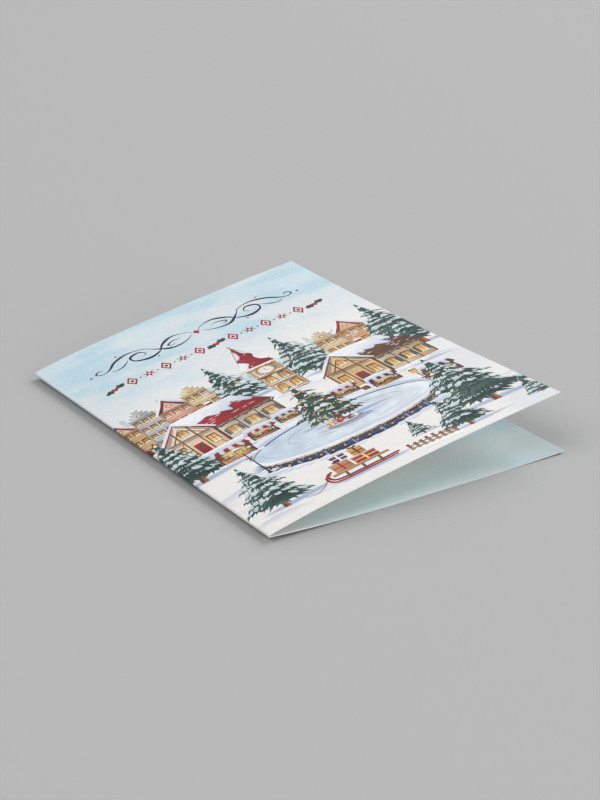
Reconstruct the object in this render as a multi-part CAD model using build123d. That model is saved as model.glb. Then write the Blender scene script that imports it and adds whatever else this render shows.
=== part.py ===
from build123d import *
import os
from math import cos, radians, sin

# Greeting card: one sheet of coated board, creased and folded once into a cover leaf and a back leaf.
# It lies on its back leaf with the cover sprung open, as a new card rests once it has been handled.
# +Y runs along the fold towards the top of the page, +X from the fold to the fore edge, +Z is up.
# The origin is on the table, under the middle of the card's box.

# Sheet
leaf_width = 120.0
page_height = 180.0
board = 0.35

# Fold: the board turns round this inner radius, and the crease leaves a low bead along its inside
fold_inner_radius = 0.2
crease_bead_radius = 0.1

# Cover leaf: it springs from the fold, then runs on in a long gentle curve.
# Its slope is in degrees, at the fold, at the end of the bend and at the corners of the fore edge,
# and the middle of the fore edge has curled down by a little more than the corners.
cover_bend_length = 25.0
cover_slope_at_fold = 14.7
cover_slope_after_bend = 11.0
cover_slope_at_corners = 7.6
cover_middle_curl = 1.9

# Back leaf: it drops from the fold, lies flat on the table and lifts a little at its fore edge
back_bend_length = 48.0
back_slope_at_fold = 4.1
back_lift_length = 34.0
back_slope_at_fore_edge = 2.25

fold_outer_radius = fold_inner_radius + board


def heading(slope):
    """Unit vector in the section plane that rises by slope degrees."""
    return Vector(cos(radians(slope)), sin(radians(slope)))


def curl(start, slope_in, slope_out, length, depth):
    """Arc whose outer face has the given length, drawn depth inside that face, from start onwards."""
    turn = slope_out - slope_in
    return JernArc(start, heading(slope_in), length / abs(radians(turn)) - depth, turn)


def fold_arc(depth):
    """Half turn of the fold, from the cover's underside of the bend round to the back leaf."""
    turn = 180 - cover_slope_at_fold - back_slope_at_fold
    return CenterArc((0, 0), fold_outer_radius - depth, 90 + cover_slope_at_fold, turn)


def cover_bend(depth):
    """Strip of the cover beside the fold, where the board still springs from the crease."""
    return curl(fold_arc(depth) @ 0, cover_slope_at_fold, cover_slope_after_bend, cover_bend_length, depth)


def fold_and_back_leaf(depth):
    """The cover's bend, the fold and the whole back leaf as one line, depth inside the outer face."""
    fold = fold_arc(depth)
    flat_length = leaf_width - back_bend_length - back_lift_length
    drop = curl(fold @ 1, -back_slope_at_fold, 0, back_bend_length, depth)
    flat = Line(drop @ 1, drop @ 1 + Vector(flat_length, 0))
    lift = curl(flat @ 1, 0, back_slope_at_fore_edge, back_lift_length, depth)
    return cover_bend(depth) + fold + drop + flat + lift


def cover_sweep(slope_at_fore_edge, depth):
    """The cover from the end of its bend to its fore edge, depth inside the outer face."""
    length = leaf_width - cover_bend_length
    return curl(cover_bend(depth) @ 1, cover_slope_after_bend, slope_at_fore_edge, length, depth)


def board_section(outer, inner):
    """Section of the board between its two faces, with square cut ends."""
    cuts = [Line(outer @ end, inner @ end) for end in (0, 1)]
    return Plane.XZ * make_face([outer, inner, *cuts])


def crease_bead():
    """Low round bead that creasing pushes up along the inside of the fold."""
    crown = fold_arc(board) @ 0.5
    bead = Pos(crown.X, crown.Y) * Circle(crease_bead_radius) & Circle(fold_inner_radius)
    return Plane.XZ * bead


def cover_panel():
    """The cover beyond its bend, lofted from end to end so that the fore edge dips in the middle."""
    sections = []
    for y, curled in ((-page_height / 2, 0), (0, cover_middle_curl), (page_height / 2, 0)):
        slope = cover_slope_at_corners - curled
        section = board_section(cover_sweep(slope, 0), cover_sweep(slope, board))
        sections.append(Pos(0, y, 0) * section)
    return loft(sections)


folded_strip = board_section(fold_and_back_leaf(0), fold_and_back_leaf(board)) + crease_bead()
card = extrude(folded_strip, page_height / 2, both=True) + cover_panel()
box = card.bounding_box()
card = Pos(-box.center().X, 0, -box.min.Z) * card
card.label = "folded_card"

os.makedirs("parts", exist_ok=True)
export_step(card, "parts/folded_card.step")
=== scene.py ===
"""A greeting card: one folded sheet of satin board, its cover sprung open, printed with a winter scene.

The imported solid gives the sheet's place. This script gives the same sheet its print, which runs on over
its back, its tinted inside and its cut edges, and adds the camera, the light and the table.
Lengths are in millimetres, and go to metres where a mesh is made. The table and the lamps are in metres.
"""

import math

import bpy
import numpy as np
from mathutils import Matrix, Vector
from mathutils.geometry import delaunay_2d_cdt


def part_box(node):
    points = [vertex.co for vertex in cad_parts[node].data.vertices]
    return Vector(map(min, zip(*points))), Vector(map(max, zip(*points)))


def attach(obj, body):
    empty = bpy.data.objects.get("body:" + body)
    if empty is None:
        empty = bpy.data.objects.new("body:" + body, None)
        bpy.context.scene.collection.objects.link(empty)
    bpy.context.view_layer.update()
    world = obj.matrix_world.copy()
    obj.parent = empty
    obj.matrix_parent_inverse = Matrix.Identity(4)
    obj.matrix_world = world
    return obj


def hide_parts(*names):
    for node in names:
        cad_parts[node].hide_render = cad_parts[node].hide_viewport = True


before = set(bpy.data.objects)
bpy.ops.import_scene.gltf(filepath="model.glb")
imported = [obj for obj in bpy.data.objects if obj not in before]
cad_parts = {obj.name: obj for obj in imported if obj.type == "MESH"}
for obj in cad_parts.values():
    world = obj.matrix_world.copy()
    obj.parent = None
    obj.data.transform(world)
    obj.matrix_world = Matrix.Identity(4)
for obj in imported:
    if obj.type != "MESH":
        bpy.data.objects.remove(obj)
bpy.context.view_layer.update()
scene = bpy.context.scene
scene.view_settings.view_transform = "Standard"

MM = 0.001

# The sheet, as part.py has it: lengths in millimetres on the outer face, slopes in degrees
LEAF_W = 120.0
PAGE_H = 180.0
BOARD = 0.35
CUT_ROLL = 0.09
FOLD_INNER_R = 0.2
FOLD_R = FOLD_INNER_R + BOARD
BEAD_R = 0.1
COVER_SLOPES = (14.7, 11.0, 7.6)
COVER_MIDDLE_CURL = 1.9
COVER_BEND = 25.0
BACK_SLOPES = (-4.1, 0.0, 0.0, 2.25)
BACK_BEND = 48.0
BACK_LIFT = 34.0
BACK_FLAT_AT = 70.0  # a place on the back leaf that lies flat on the table

CROWN_TURN = (180 - COVER_SLOPES[0] + BACK_SLOPES[0]) / 2
CROWN = -FOLD_R * math.radians(CROWN_TURN)
CROWN_AT = 90 + COVER_SLOPES[0] + CROWN_TURN
SHEET_LEFT = 2 * CROWN - LEAF_W


def chain(start, slope, legs, s, depth):
    """Points a length s along a chain of arcs, moved depth to the right of the way it runs.
    Each leg is (length, slope at its end). On a leg the slope changes evenly, so the point lies at the chord
    length * sin(turn / 2) / (turn / 2) from the leg's start, in the direction halfway through the turn."""
    x = np.full(s.shape, float(start[0]))
    z = np.full(s.shape, float(start[1]))
    angle = np.full(s.shape, math.radians(slope))
    left = s.copy()
    for k, (length, slope_out) in enumerate(legs):
        full = math.radians(slope_out) - math.radians(slope)
        step = np.clip(left, 0, length if k < len(legs) - 1 else np.inf)
        turn = full * step / length
        chord = step * np.sinc(turn / 2 / np.pi)
        x += chord * np.cos(angle + turn / 2)
        z += chord * np.sin(angle + turn / 2)
        angle += turn
        left = left - step
        slope = slope_out
    return x + depth * np.sin(angle), z - depth * np.cos(angle)


def crown_point(r):
    """Point of the fold's crown at the radius r, from the middle of the fold."""
    a = math.radians(CROWN_AT)
    return r * math.cos(a), r * math.sin(a)


def cover_section(s, slope_end, depth):
    """Cover leaf from the fold's crown: half the fold, the bend beside it, then the long sweep."""
    legs = [(-CROWN, COVER_SLOPES[0]), (COVER_BEND, COVER_SLOPES[1]), (LEAF_W - COVER_BEND, slope_end)]
    return chain(crown_point(FOLD_R), CROWN_AT - 90, legs, s, depth)


def back_section(s, depth):
    """Back leaf from the fold's crown: half the fold, the drop to the table, the flat, then the lift."""
    lengths = (-CROWN, BACK_BEND, LEAF_W - BACK_BEND - BACK_LIFT, BACK_LIFT)
    return chain(crown_point(FOLD_R), CROWN_AT - 270, list(zip(lengths, BACK_SLOPES)), s, -depth)


def bead_section(s, x, z):
    """Inside of the fold: its round wall, with the crease's low bead standing on the crown.
    The bead's arc runs between the two points where its circle meets the wall's circle."""
    reach = 2 * math.asin(BEAD_R / 2 / FOLD_INNER_R)
    half = reach * FOLD_R
    cx, cz = crown_point(FOLD_INNER_R)
    swing = math.pi / 2 + reach / 2
    b = math.radians(CROWN_AT) + math.pi - np.clip(-s / half, -1, 1) * (math.pi - swing)
    on = np.abs(s) < half
    return np.where(on, cx + BEAD_R * np.cos(b), x), np.where(on, cz + BEAD_R * np.sin(b), z)


low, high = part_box("folded_card")
FOLD_X = low.x / MM + FOLD_R
TABLE_Z = float(back_section(np.array([BACK_FLAT_AT]), 0)[1][0])


def on_sheet(x, y, depth=0.0):
    """Point of the folded card for a point x, y of the flat sheet, in millimetres, depth inside the outer face.
    x is 0 where the cover leaves the fold and LEAF_W at its fore edge, and falls below CROWN on the back leaf.
    y is 0 at the page's foot. The cover's fore edge dips between its corners: at each height the section is
    a blend of the corners' sweep and the middle's, by one less the square of the share of half a page."""
    s = x - CROWN
    along = y - PAGE_H / 2
    dip = 1 - (along / (PAGE_H / 2)) ** 2
    up = np.maximum(s, 0)
    ax, az = cover_section(up, COVER_SLOPES[2], depth)
    bx, bz = cover_section(up, COVER_SLOPES[2] - COVER_MIDDLE_CURL, depth)
    cx, cz = ax + (bx - ax) * dip, az + (bz - az) * dip
    dx, dz = back_section(np.maximum(-s, 0), depth)
    px, pz = np.where(s >= 0, cx, dx), np.where(s >= 0, cz, dz)
    if depth == BOARD:
        px, pz = bead_section(s, px, pz)
    return np.stack([px + FOLD_X, along, pz - TABLE_Z], -1)


def facing(x, y, depth):
    """Unit normal of the sheet's outer or inner face there, from small steps along it and up it."""
    e = 0.02
    along = on_sheet(x + e, y, depth) - on_sheet(x - e, y, depth)
    up = on_sheet(x, y + e, depth) - on_sheet(x, y - e, depth)
    n = np.cross(along, up)
    n /= np.linalg.norm(n, axis=-1)[..., None]
    return -n if depth else n


def ink(r, g, b):
    """Linear colour of a printed tint given as it looks, 0 to 255."""
    c = np.array([r, g, b]) / 255
    return np.where(c <= 0.04045, c / 12.92, ((c + 0.055) / 1.055) ** 2.4)


SKY = ink(194, 223, 236)
SKY_LIGHT = ink(212, 231, 240)
CLOUD = ink(228, 235, 238)
PAPER = ink(246, 244, 241)
SNOW = ink(249, 250, 251)
SNOW_SHADE = ink(200, 211, 232)
SNOW_DEEP = ink(164, 187, 222)
MIST = ink(164, 188, 198)
PINE_DARK = ink(20, 44, 44)
PINE = ink(50, 85, 78)
PINE_LIGHT = ink(112, 144, 132)
PINE_DEEP = ink(4, 20, 26)
OLIVE = ink(138, 136, 92)
PINE_SNOW = ink(222, 233, 234)
PINE_FROST = ink(170, 196, 198)
BARK = ink(104, 62, 42)
BARK_WARM = ink(176, 96, 50)
RED = ink(178, 34, 44)
RED_DARK = ink(118, 24, 36)
ROSE = ink(216, 112, 112)
GOLD = ink(222, 172, 84)
GOLD_PALE = ink(247, 219, 150)
TAN = ink(204, 156, 108)
TIMBER = ink(120, 76, 52)
TIMBER_DARK = ink(72, 46, 40)
CREAM = ink(240, 226, 204)
STONE = ink(206, 196, 190)
NAVY = ink(36, 46, 92)
NAVY_DARK = ink(24, 30, 58)
SLATE = ink(110, 124, 156)
ICE = ink(196, 214, 232)
ICE_ROSE = ink(214, 200, 204)
WASH_BLUE = ink(172, 194, 204)
WASH_GREEN = ink(192, 206, 205)
WASH_COOL = ink(234, 252, 252)
WASH_WARM = ink(253, 247, 240)
SHADE = ink(128, 128, 156)
WHITE = ink(255, 255, 255)

# Where lines are cut inside an outline because its colour bends: at these shares of a soft edge's width, and
# at this distance, in millimetres, behind a pooled rim
SOFT_BENDS = (0.3, 0.65, 1.0)
POOL_BEND = 0.28


def lattice(ix, iy, seed):
    """Random value from 0 to 1 at each whole-numbered lattice point, the same each run."""
    n = (ix.astype(np.int64) * 374761393 + iy.astype(np.int64) * 668265263 + seed * 2246822519) & 0xFFFFFFFF
    n = ((n ^ (n >> 13)) * 1274126177) & 0xFFFFFFFF
    return ((n ^ (n >> 16)) & 0xFFFF) / 65535


def noise(x, y, seed):
    """Smooth noise from 0 to 1: lattice values blended by a cubic ease between the four corners."""
    ix, iy = np.floor(x), np.floor(y)
    fx, fy = x - ix, y - iy
    fx, fy = fx * fx * (3 - 2 * fx), fy * fy * (3 - 2 * fy)
    low = lattice(ix, iy, seed) * (1 - fx) + lattice(ix + 1, iy, seed) * fx
    high = lattice(ix, iy + 1, seed) * (1 - fx) + lattice(ix + 1, iy + 1, seed) * fx
    return low * (1 - fy) + high * fy


def billow(x, y, size, seed, octaves=4):
    """Noise of several sizes added up, each half as large and half as strong as the one before."""
    total, reach = 0.0, 0.0
    for k in range(octaves):
        total = total + noise(x / size * 2**k, y / size * 2**k, seed + k) / 2**k
        reach += 1 / 2**k
    return total / reach


def ease(low, high, x):
    """Rises smoothly from 0 at low to 1 at high."""
    t = np.clip((x - low) / (high - low), 0, 1)
    return t * t * (3 - 2 * t)


def mix(a, b, t):
    """Tint that is a share t of the way from a to b."""
    t = np.asarray(t)[..., None]
    return a * (1 - t) + b * t


def curve(points, steps=6):
    """Smooth line through the given points: a Catmull-Rom spline with steps spans a stretch."""
    p = np.asarray(points, float)
    p = np.vstack([2 * p[0] - p[1], p, 2 * p[-1] - p[-2]])
    t = (np.arange(steps) / steps)[:, None]
    parts = []
    for a, b, c, d in zip(p[:-3], p[1:-2], p[2:-1], p[3:]):
        parts.append(0.5 * (2 * b + (c - a) * t + (2 * a - 5 * b + 4 * c - d) * t**2
                            + (3 * b - a - 3 * c + d) * t**3))
    return np.vstack(parts + [p[-2:-1]])


def rough(points, step, amount, rng):
    """Closed outline with its sides cut to about step and each new corner moved by up to amount."""
    p = np.asarray(points, float)
    parts = []
    for a, b in zip(p, np.roll(p, -1, 0)):
        n = max(1, int(round(np.hypot(*(b - a)) / step)))
        parts.append(a + (b - a) * (np.arange(n) / n)[:, None])
    p = np.vstack(parts)
    return p + rng.uniform(-amount, amount, p.shape)


def inset(points, depth):
    """Closed outline moved inwards: each corner goes along the mean of its two sides' inward normals."""
    d = np.roll(points, -1, 0) - points
    d /= np.maximum(np.hypot(d[:, 0], d[:, 1]), 1e-9)[:, None]
    inward = np.stack([-d[:, 1], d[:, 0]], 1)
    mean = inward + np.roll(inward, 1, 0)
    mean /= np.maximum(np.hypot(mean[:, 0], mean[:, 1]), 0.5)[:, None]
    return points + mean * depth


def with_more_corners(outline, longest=8.0):
    """Closed outline with more corners along its long sides, so that they can follow the sheet's curl."""
    runs = []
    for a, b in zip(outline, np.roll(outline, -1, 0)):
        n = max(1, math.ceil(math.dist(a, b) / longest))
        runs.append(a + (b - a) * np.arange(n)[:, None] / n)
    return np.vstack(runs)


def box(left, foot, right, top):
    """Corners of an upright rectangle."""
    return [(left, foot), (right, foot), (right, top), (left, top)]


def diamond(rx, ry):
    """Corners of a lozenge about the foot."""
    return [(-rx, 0), (0, -ry), (rx, 0), (0, ry)]


def arc(x, y, rx, ry, angle):
    """Points on an ellipse about x, y: rx times the cosine of the angle across, ry times its sine up."""
    return np.stack([x + rx * np.cos(angle), y + ry * np.sin(angle)], -1)


def star(arms, start, outer, inner):
    """Outline of a star: its corners lie by turns on an outer and an inner circle, from the angle start on."""
    k = np.arange(2 * arms)
    r = np.where(k % 2, inner, outer)
    return arc(0, 0, r, r, start + k * np.pi / arms)


def lifted(line, by):
    """The line with its points moved up, all by the same or each by its own amount."""
    return line + np.multiply.outer(by, (0.0, 1.0))


def hanging(a, b, drop, n):
    """Line of n points from a to b that sags as a parabola, by drop in its middle."""
    t = np.linspace(0, 1, n)[:, None]
    return a + np.subtract(b, a) * t - np.array((0, 4 * drop)) * t * (1 - t)


def turned(points, angle):
    """Points turned about the foot."""
    c, s = np.cos(angle), np.sin(angle)
    return points @ np.array([[c, s], [-s, c]])


class Picture:
    """Painted shapes in the order in which they were laid down. Places are in millimetres from a foot, which
    each motif moves to where it stands, and vary and rng give the motif its small differences."""

    def __init__(self, rng, foot=(0.0, 0.0), shapes=None, guides=None):
        self.rng = rng
        self.vary = rng.uniform
        self.foot = np.array(foot, float)
        self.shapes = [] if shapes is None else shapes
        self.guides = [] if guides is None else guides

    def at(self, x, y, seed=None):
        """The same picture, its foot moved by x, y. With a seed the motif has random numbers of its own."""
        rng = self.rng if seed is None else np.random.default_rng(seed)
        return Picture(rng, self.foot + (x, y), self.shapes, self.guides)

    def shape(self, points, tint, cover=1.0, glaze=False, soft=0.0, pool=0.0, fade=None, wash=0.22):
        """One field of colour. glaze darkens what lies under it, soft is the width of a blurred edge,
        pool darkens the rim as wet paint does, fade is (start, end, second tint), and wash is how far the
        tint drifts from place to place. Guides are lines inside it where its colour bends."""
        p = np.asarray(points, float) + self.foot
        area = np.sum(p[:, 0] * np.roll(p[:, 1], -1) - np.roll(p[:, 0], -1) * p[:, 1])
        p = with_more_corners(p[::-1] if area < 0 else p)
        if fade:
            fade = (self.foot + fade[0], self.foot + fade[1], fade[2])
        bends = [soft * share for share in SOFT_BENDS] if soft else []
        if pool:
            bends.append(POOL_BEND)
        self.guides += [(len(self.shapes), inset(p, depth)) for depth in bends]
        self.shapes.append(dict(outline=p, tint=tint, cover=cover, glaze=glaze, soft=soft, pool=pool,
                                fade=fade, wash=wash))

    def between(self, upper, lower, tint, **how):
        """Field between two lines that run the same way."""
        self.shape(np.vstack([upper, lower[::-1]]), tint, **how)

    def blob(self, x, y, rx, ry, tint, wobble=0.12, count=14, turn=0.0, **how):
        """Rounded patch: an ellipse whose radius swells and shrinks a few times round."""
        a = np.linspace(0, 2 * np.pi, count, endpoint=False)
        k = self.vary(0, 2 * np.pi, 3)
        r = 1 + wobble * (np.sin(2 * a + k[0]) + 0.6 * np.sin(3 * a + k[1]) + 0.4 * np.sin(5 * a + k[2]))
        self.shape(turned(arc(0, 0, rx * r, ry * r, a), turn) + (x, y), tint, **how)

    def dot(self, x, y, r, tint, count, **how):
        """Round spot with the given number of corners."""
        self.blob(x, y, r, r, tint, wobble=0, count=count, **how)

    def ground_shade(self, x, y, rx, ry, soft, cover=0.8, **how):
        """Cool shade that a thing throws on the snow round its foot."""
        self.blob(x, y, rx, ry, SNOW_DEEP, soft=soft, cover=cover, glaze=True, **how)

    def stroke(self, points, widths, tint, steps=6, **how):
        """Brush stroke: a line thickened to either side by half of a width that varies along it."""
        p = curve(points, steps)
        widths = np.atleast_1d(widths)
        w = np.interp(np.linspace(0, 1, len(p)), np.linspace(0, 1, len(widths)), widths) / 2
        d = np.gradient(p, axis=0)
        d /= np.maximum(np.hypot(d[:, 0], d[:, 1]), 1e-9)[:, None]
        side = np.stack([-d[:, 1], d[:, 0]], 1) * w[:, None]
        self.between(p + side, p - side, tint, **how)

    def line(self, a, b, widths, tint, **how):
        """Straight stroke from a to b."""
        self.stroke([a, b], widths, tint, steps=1, **how)


def backdrop(x, y):
    """Paper under everything: pale-blue sky with drifting cloud, melting into white snow below."""
    wave = billow(x * 0.75 + y * 0.35, y * 1.5, 34, 3)
    wisp = billow(x * 0.8 + y * 0.5, y * 1.8, 13, 11)
    sky = mix(SKY, SKY_LIGHT, ease(0.30, 0.70, wisp))
    cloud = wave + 0.22 * (wisp - 0.5) + 0.12 * ease(165, 122, y) - 0.10 * ease(36, 8, x)
    sky = mix(sky, CLOUD, 0.9 * ease(0.44, 0.68, cloud))
    base = mix(PAPER, SNOW_SHADE, 0.30 * ease(0.52, 0.80, billow(x, y * 1.7, 22, 29)))
    return mix(base, sky, ease(100, 148, y + 16 * (billow(x, y, 24, 41) - 0.5) + 12 * ease(34, 6, x)))


def distant_fir(pic, x, y, h):
    """Far fir: one misty outline whose sides step in and out as they narrow to a tip."""
    pic = pic.at(x, y)
    n = int(pic.rng.integers(5, 8))
    t = np.linspace(0, 1, n)
    half = 0.25 * h * (1 - t) ** 0.9
    sides = [[], []]
    for m, side in zip((-1, 1), sides):
        for k in range(n - 1):
            side += [(m * half[k] * pic.vary(0.8, 1.15), h * t[k] + pic.vary(-0.2, 0.2)),
                     (m * half[k + 1] * pic.vary(0.6, 0.85), h * t[k] + h / n * pic.vary(0.6, 0.8))]
    pic.shape(sides[0] + [(0, h)] + sides[1][::-1], MIST, cover=0.6,
              fade=((0, 0.75 * h), (0, 0), mix(MIST, CLOUD, 0.8)))


def needles(pic, upper, low, lean, depth, warm):
    """Dark pad of a branch between its upper line and its lower line, which is fringed with pointed tufts."""
    n = len(upper)
    reach = depth * pic.vary(0.3, 1.25, n - 1)
    lower = np.empty((2 * n - 3, 2))
    lower[0::2] = (low[:-1] + low[1:]) / 2 + np.stack([lean * reach, -0.9 * reach], 1)
    lower[1::2] = low[1:-1]
    light = mix(PINE_LIGHT, OLIVE, 0.7 * pic.vary() ** 2)
    pic.between(upper, lower, mix(PINE_DARK, PINE, pic.vary(0, 0.6)), wash=0.9,
                fade=(upper[n // 2], lower.min(0), mix(PINE, light, warm)))


def cushion(pic, on, thick):
    """Rounded heap of snow on a branch: a smooth top, a ragged belly and a grey-green shade below."""
    swell = thick * np.array([0.3, 1.0, 1.15, 0.95, 0.25])
    top = lifted(on, swell * pic.vary(0.50, 0.72, 5))
    foot = lifted(on, -swell * pic.vary(0.02, 0.42, 5))
    pic.between(lifted(foot, 0.1), lifted(foot, -swell * pic.vary(0.16, 0.34, 5)), PINE_DEEP, cover=0.85)
    pic.between(top, foot, mix(PINE_SNOW, SNOW, pic.vary(-0.1, 0.8)), wash=0.3,
                fade=(top[2], foot[2] - (0, 0.25 * thick.max()), mix(PINE_FROST, MIST, pic.vary(0, 0.6))))


def bough(pic, x0, y0, x1, y1, width, snow):
    """One branch from the trunk to its tip. A branch to the side arches and then droops, and one that comes
    towards the viewer is a broad pad. Either way its needles hang below and snow lies on it in cushions."""
    out = x1 - x0
    warm = pic.vary(-0.2, 0.7)
    if abs(out) < 0.9 * width:
        t = np.linspace(-1, 1, 7)
        mid = y1 + 0.45 * width
        upper = np.stack([x1 + 0.85 * width * t, mid + 0.40 * width * (1 - t**2)], 1)
        low = np.stack([x1 + 0.80 * width * t, mid - 0.30 * width * (1 - 0.6 * t**2)], 1)
        needles(pic, upper, low, 0.8 * (t[:-1] + t[1:]), 0.42 * width, warm)
        cuts = (-0.82, pic.vary(-0.15, 0.15), 0.82)
        line, thick = upper - (0, 0.20 * width), np.full(7, 0.52 * width)
    else:
        t = np.linspace(0, 1, 7)
        bend = (x0 + 0.55 * out, (y0 + y1) / 2 + 0.12 * abs(out) + 0.10 * width)
        line = np.stack([(1 - t)**2 * a + 2 * t * (1 - t) * b + t * t * c
                         for a, b, c in zip((x0, y0), bend, (x1, y1))], 1)
        thick = width * (0.42 + 0.58 * np.sin(np.pi * np.clip(t * 0.85 + 0.12, 0, 1))) * (1 - 0.8 * t**6)
        upper = lifted(line, 0.40 * thick * pic.vary(0.75, 1.1, 7))
        needles(pic, upper, lifted(line, -0.30 * thick), np.full(6, 0.8 * np.sign(out)), 0.45 * width, warm)
        cuts = np.linspace(pic.vary(0.0, 0.12), pic.vary(0.86, 1.0), 3 if abs(out) < 2.2 * width else 4)
    if pic.vary() > snow:
        return
    for a, b in zip(cuts[:-1], cuts[1:]):
        k = np.linspace(a, b - 0.03, 5)
        on = np.stack([np.interp(k, t, line[:, 0]), np.interp(k, t, line[:, 1])], 1)
        cushion(pic, on + (0, 0.05 * width), np.interp(k, t, thick))


def fir(pic, x, y, h, w, seed, snow=0.9, tiers=8, thick=1.0):
    """Snow-laden fir: trunk, then tiers of boughs from the ground up, each tier fanned round the trunk."""
    pic = pic.at(x, y, seed)
    pic.ground_shade(0.35 * w, 0.2, 1.30 * w, 0.15 * w, 0.13 * w, 0.9)
    pic.stroke([(0, 0.35 * h), (0.1, 0.1 * h), (0, -0.02 * h)], [0.04 * h, 0.055 * h, 0.07 * h], BARK)
    pic.line((0.014 * h, 0.2 * h), (0.017 * h, -0.01 * h), [0.018 * h, 0.028 * h], BARK_WARM)
    inner = [(-0.78 * w, 0.15 * h), (0.78 * w, 0.15 * h), (0.34 * w, 0.55 * h), (0, 0.93 * h),
             (-0.34 * w, 0.55 * h)]
    pic.shape(rough(inner, 0.06 * h, 0.02 * h, pic.rng), PINE_DARK, fade=((-0.5 * w, 0), (0.6 * w, 0), PINE))
    rise = h / tiers
    for k in range(tiers):
        t = k / tiers
        base = h * 0.13 + h * 0.80 * t
        half = w * (1 - t) ** 0.85 * pic.vary(0.88, 1.12)
        n = max(3, int(round((9 - 6 * t) * thick)))
        spread = np.linspace(-1, 1, n) + pic.vary(-0.12, 0.12, n)
        for s in spread[np.argsort(-np.abs(spread))]:
            tip = base - rise * (0.40 * np.sqrt(max(0, 1 - s * s)) + pic.vary(-0.25, 0.25))
            width = half * (0.30 + 0.12 * (1 - abs(s))) * pic.vary(0.8, 1.2) + 0.016 * h
            start = base + rise * pic.vary(0.25, 0.75)
            bough(pic, 0.15 * half * s, start, half * s * pic.vary(0.85, 1.08), tip, width, snow)
    pic.stroke([(-0.02 * w, 0.84 * h), (0, 0.93 * h), (0, h)], [0.18 * w, 0.11 * w, 0.02 * w], PINE)
    pic.blob(0, 0.925 * h, 0.06 * w, 0.022 * h, PINE_SNOW, count=8)


def snow_cap(pic, a, b, thick, lip=0.5):
    """Snow lying along an edge from a to b: a smooth rounded top and a lower lip that sags in lobes."""
    a, b = np.array(a, float), np.array(b, float)
    n = 2 * max(3, int(np.hypot(*(b - a)) / 2.2)) + 1
    sag = np.where(np.arange(n) % 2, lip * pic.vary(0.5, 1.2, n), 0.0)
    low = lifted(a + (b - a) * np.linspace(0, 1, n)[:, None], -sag)
    top = [a + (b - a) * s + (0, thick * pic.vary(0.85, 1.1)) for s in (0.04, 0.3, 0.6, 0.96)]
    pic.between(low, curve([a] + top + [b], 3), SNOW, fade=(a, (a[0], a[1] + thick), mix(SNOW, PAPER, 0.2)))
    pic.stroke(low[1:-1], [0.05, 0.34, 0.05], SNOW_SHADE, steps=2, cover=0.8)


def pen(pic, points, width=0.24, tint=TIMBER_DARK):
    """Thin ink line that starts and ends finer than its middle."""
    pic.stroke(points, [0.4 * width, width, 0.9 * width, 0.3 * width], tint, steps=2)


def inked(pic, points, tint, fade=None, line=0.22):
    """Wall or roof as it is painted: a blotchy field with a wet rim, then a loose pen line along each side."""
    pic.shape(rough(points, 2.6, 0.07, pic.rng), tint, wash=0.75, pool=0.22, fade=fade)
    p = np.asarray(points, float)
    for a, b in zip(p, np.roll(p, -1, 0)):
        over = 0.35 * (b - a) / max(1.0, np.hypot(*(b - a)))
        pen(pic, [a - over * pic.vary(0, 1), (a + b) / 2 + pic.vary(-0.09, 0.09, 2),
                  b + over * pic.vary(0, 1)], line)


def shadow(pic, points, cover=0.6):
    """Cool shade that falls across a wall."""
    pic.shape(points, SHADE, cover=cover, glaze=True)


def window(pic, x, y, w, h, arched=False):
    """Lit window: timber frame, warm pane that glows from below, glazing bars and a snowy sill."""
    pic = pic.at(x, y)
    pane = np.array(box(0, 0, w, h), float)
    if arched:
        pane = np.vstack([pane[:2], arc(w / 2, h, w / 2, w / 2, np.linspace(0, np.pi, 7))])
    middle = pane.mean(0)
    pic.shape(middle + (pane - middle) * (1 + 0.8 / w), TIMBER_DARK, wash=0.8)
    pic.shape(pane, mix(GOLD, BARK_WARM, pic.vary(0.1, 0.7)), fade=((0, h), (0.3 * w, 0), GOLD_PALE),
              wash=0.7)
    pic.line((w / 2, 0), (w / 2, h), 0.26, TIMBER)
    pic.line((0, h * 0.55), (w, h * 0.55), 0.24, TIMBER)
    pic.stroke([(-0.5, -0.25), (w / 2, -0.05), (w + 0.5, -0.25)], [0.35, 0.6, 0.35], SNOW, steps=3)


def swag(pic, points, drop):
    """Evergreen garland hung in loops between the given points, with red berries and a few gold lights."""
    thick = 0.34 + 0.30 * np.sin(np.pi * np.linspace(0, 1, 7))
    for a, b in zip(points[:-1], points[1:]):
        line = hanging(a, b, drop, 7)
        upper = lifted(line, thick * pic.vary(0.6, 1.3, 7))
        lower = lifted(line, -thick * pic.vary(0.6, 1.5, 7))
        pic.between(upper, lower, mix(PINE_DARK, PINE, pic.vary()), wash=0.8)
        for k in range(1, 7):
            berry = (RED, GOLD_PALE, RED)[k % 3]
            pic.blob(line[k, 0], line[k, 1] + pic.vary(-0.3, 0.1), 0.26, 0.26, berry, count=5)


def roof_rows(pic, slope, rows, tint):
    """Broken rows of tiles on a roof slope, from its eaves a to b up to its ridge d to c. Some hold snow."""
    a, b, c, d = np.array(slope, float)
    for k in range(1, rows):
        t = (k + pic.vary(-0.15, 0.15)) / rows
        left, right = a + (d - a) * t, b + (c - b) * t
        s = pic.vary(0, 0.05)
        while s < 0.92:
            e = min(s + pic.vary(0.05, 0.16), 0.98)
            p, q = left + (right - left) * s, left + (right - left) * e
            tile = SNOW if pic.vary() < 0.22 else mix(tint, TIMBER_DARK, pic.vary(0, 0.6))
            pic.stroke([p, (p + q) / 2 - (0, pic.vary(0.05, 0.3)), q], [0.12, 0.42, 0.12], tile, steps=2,
                       cover=0.9)
            s = e + pic.vary(0.01, 0.05)


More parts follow.
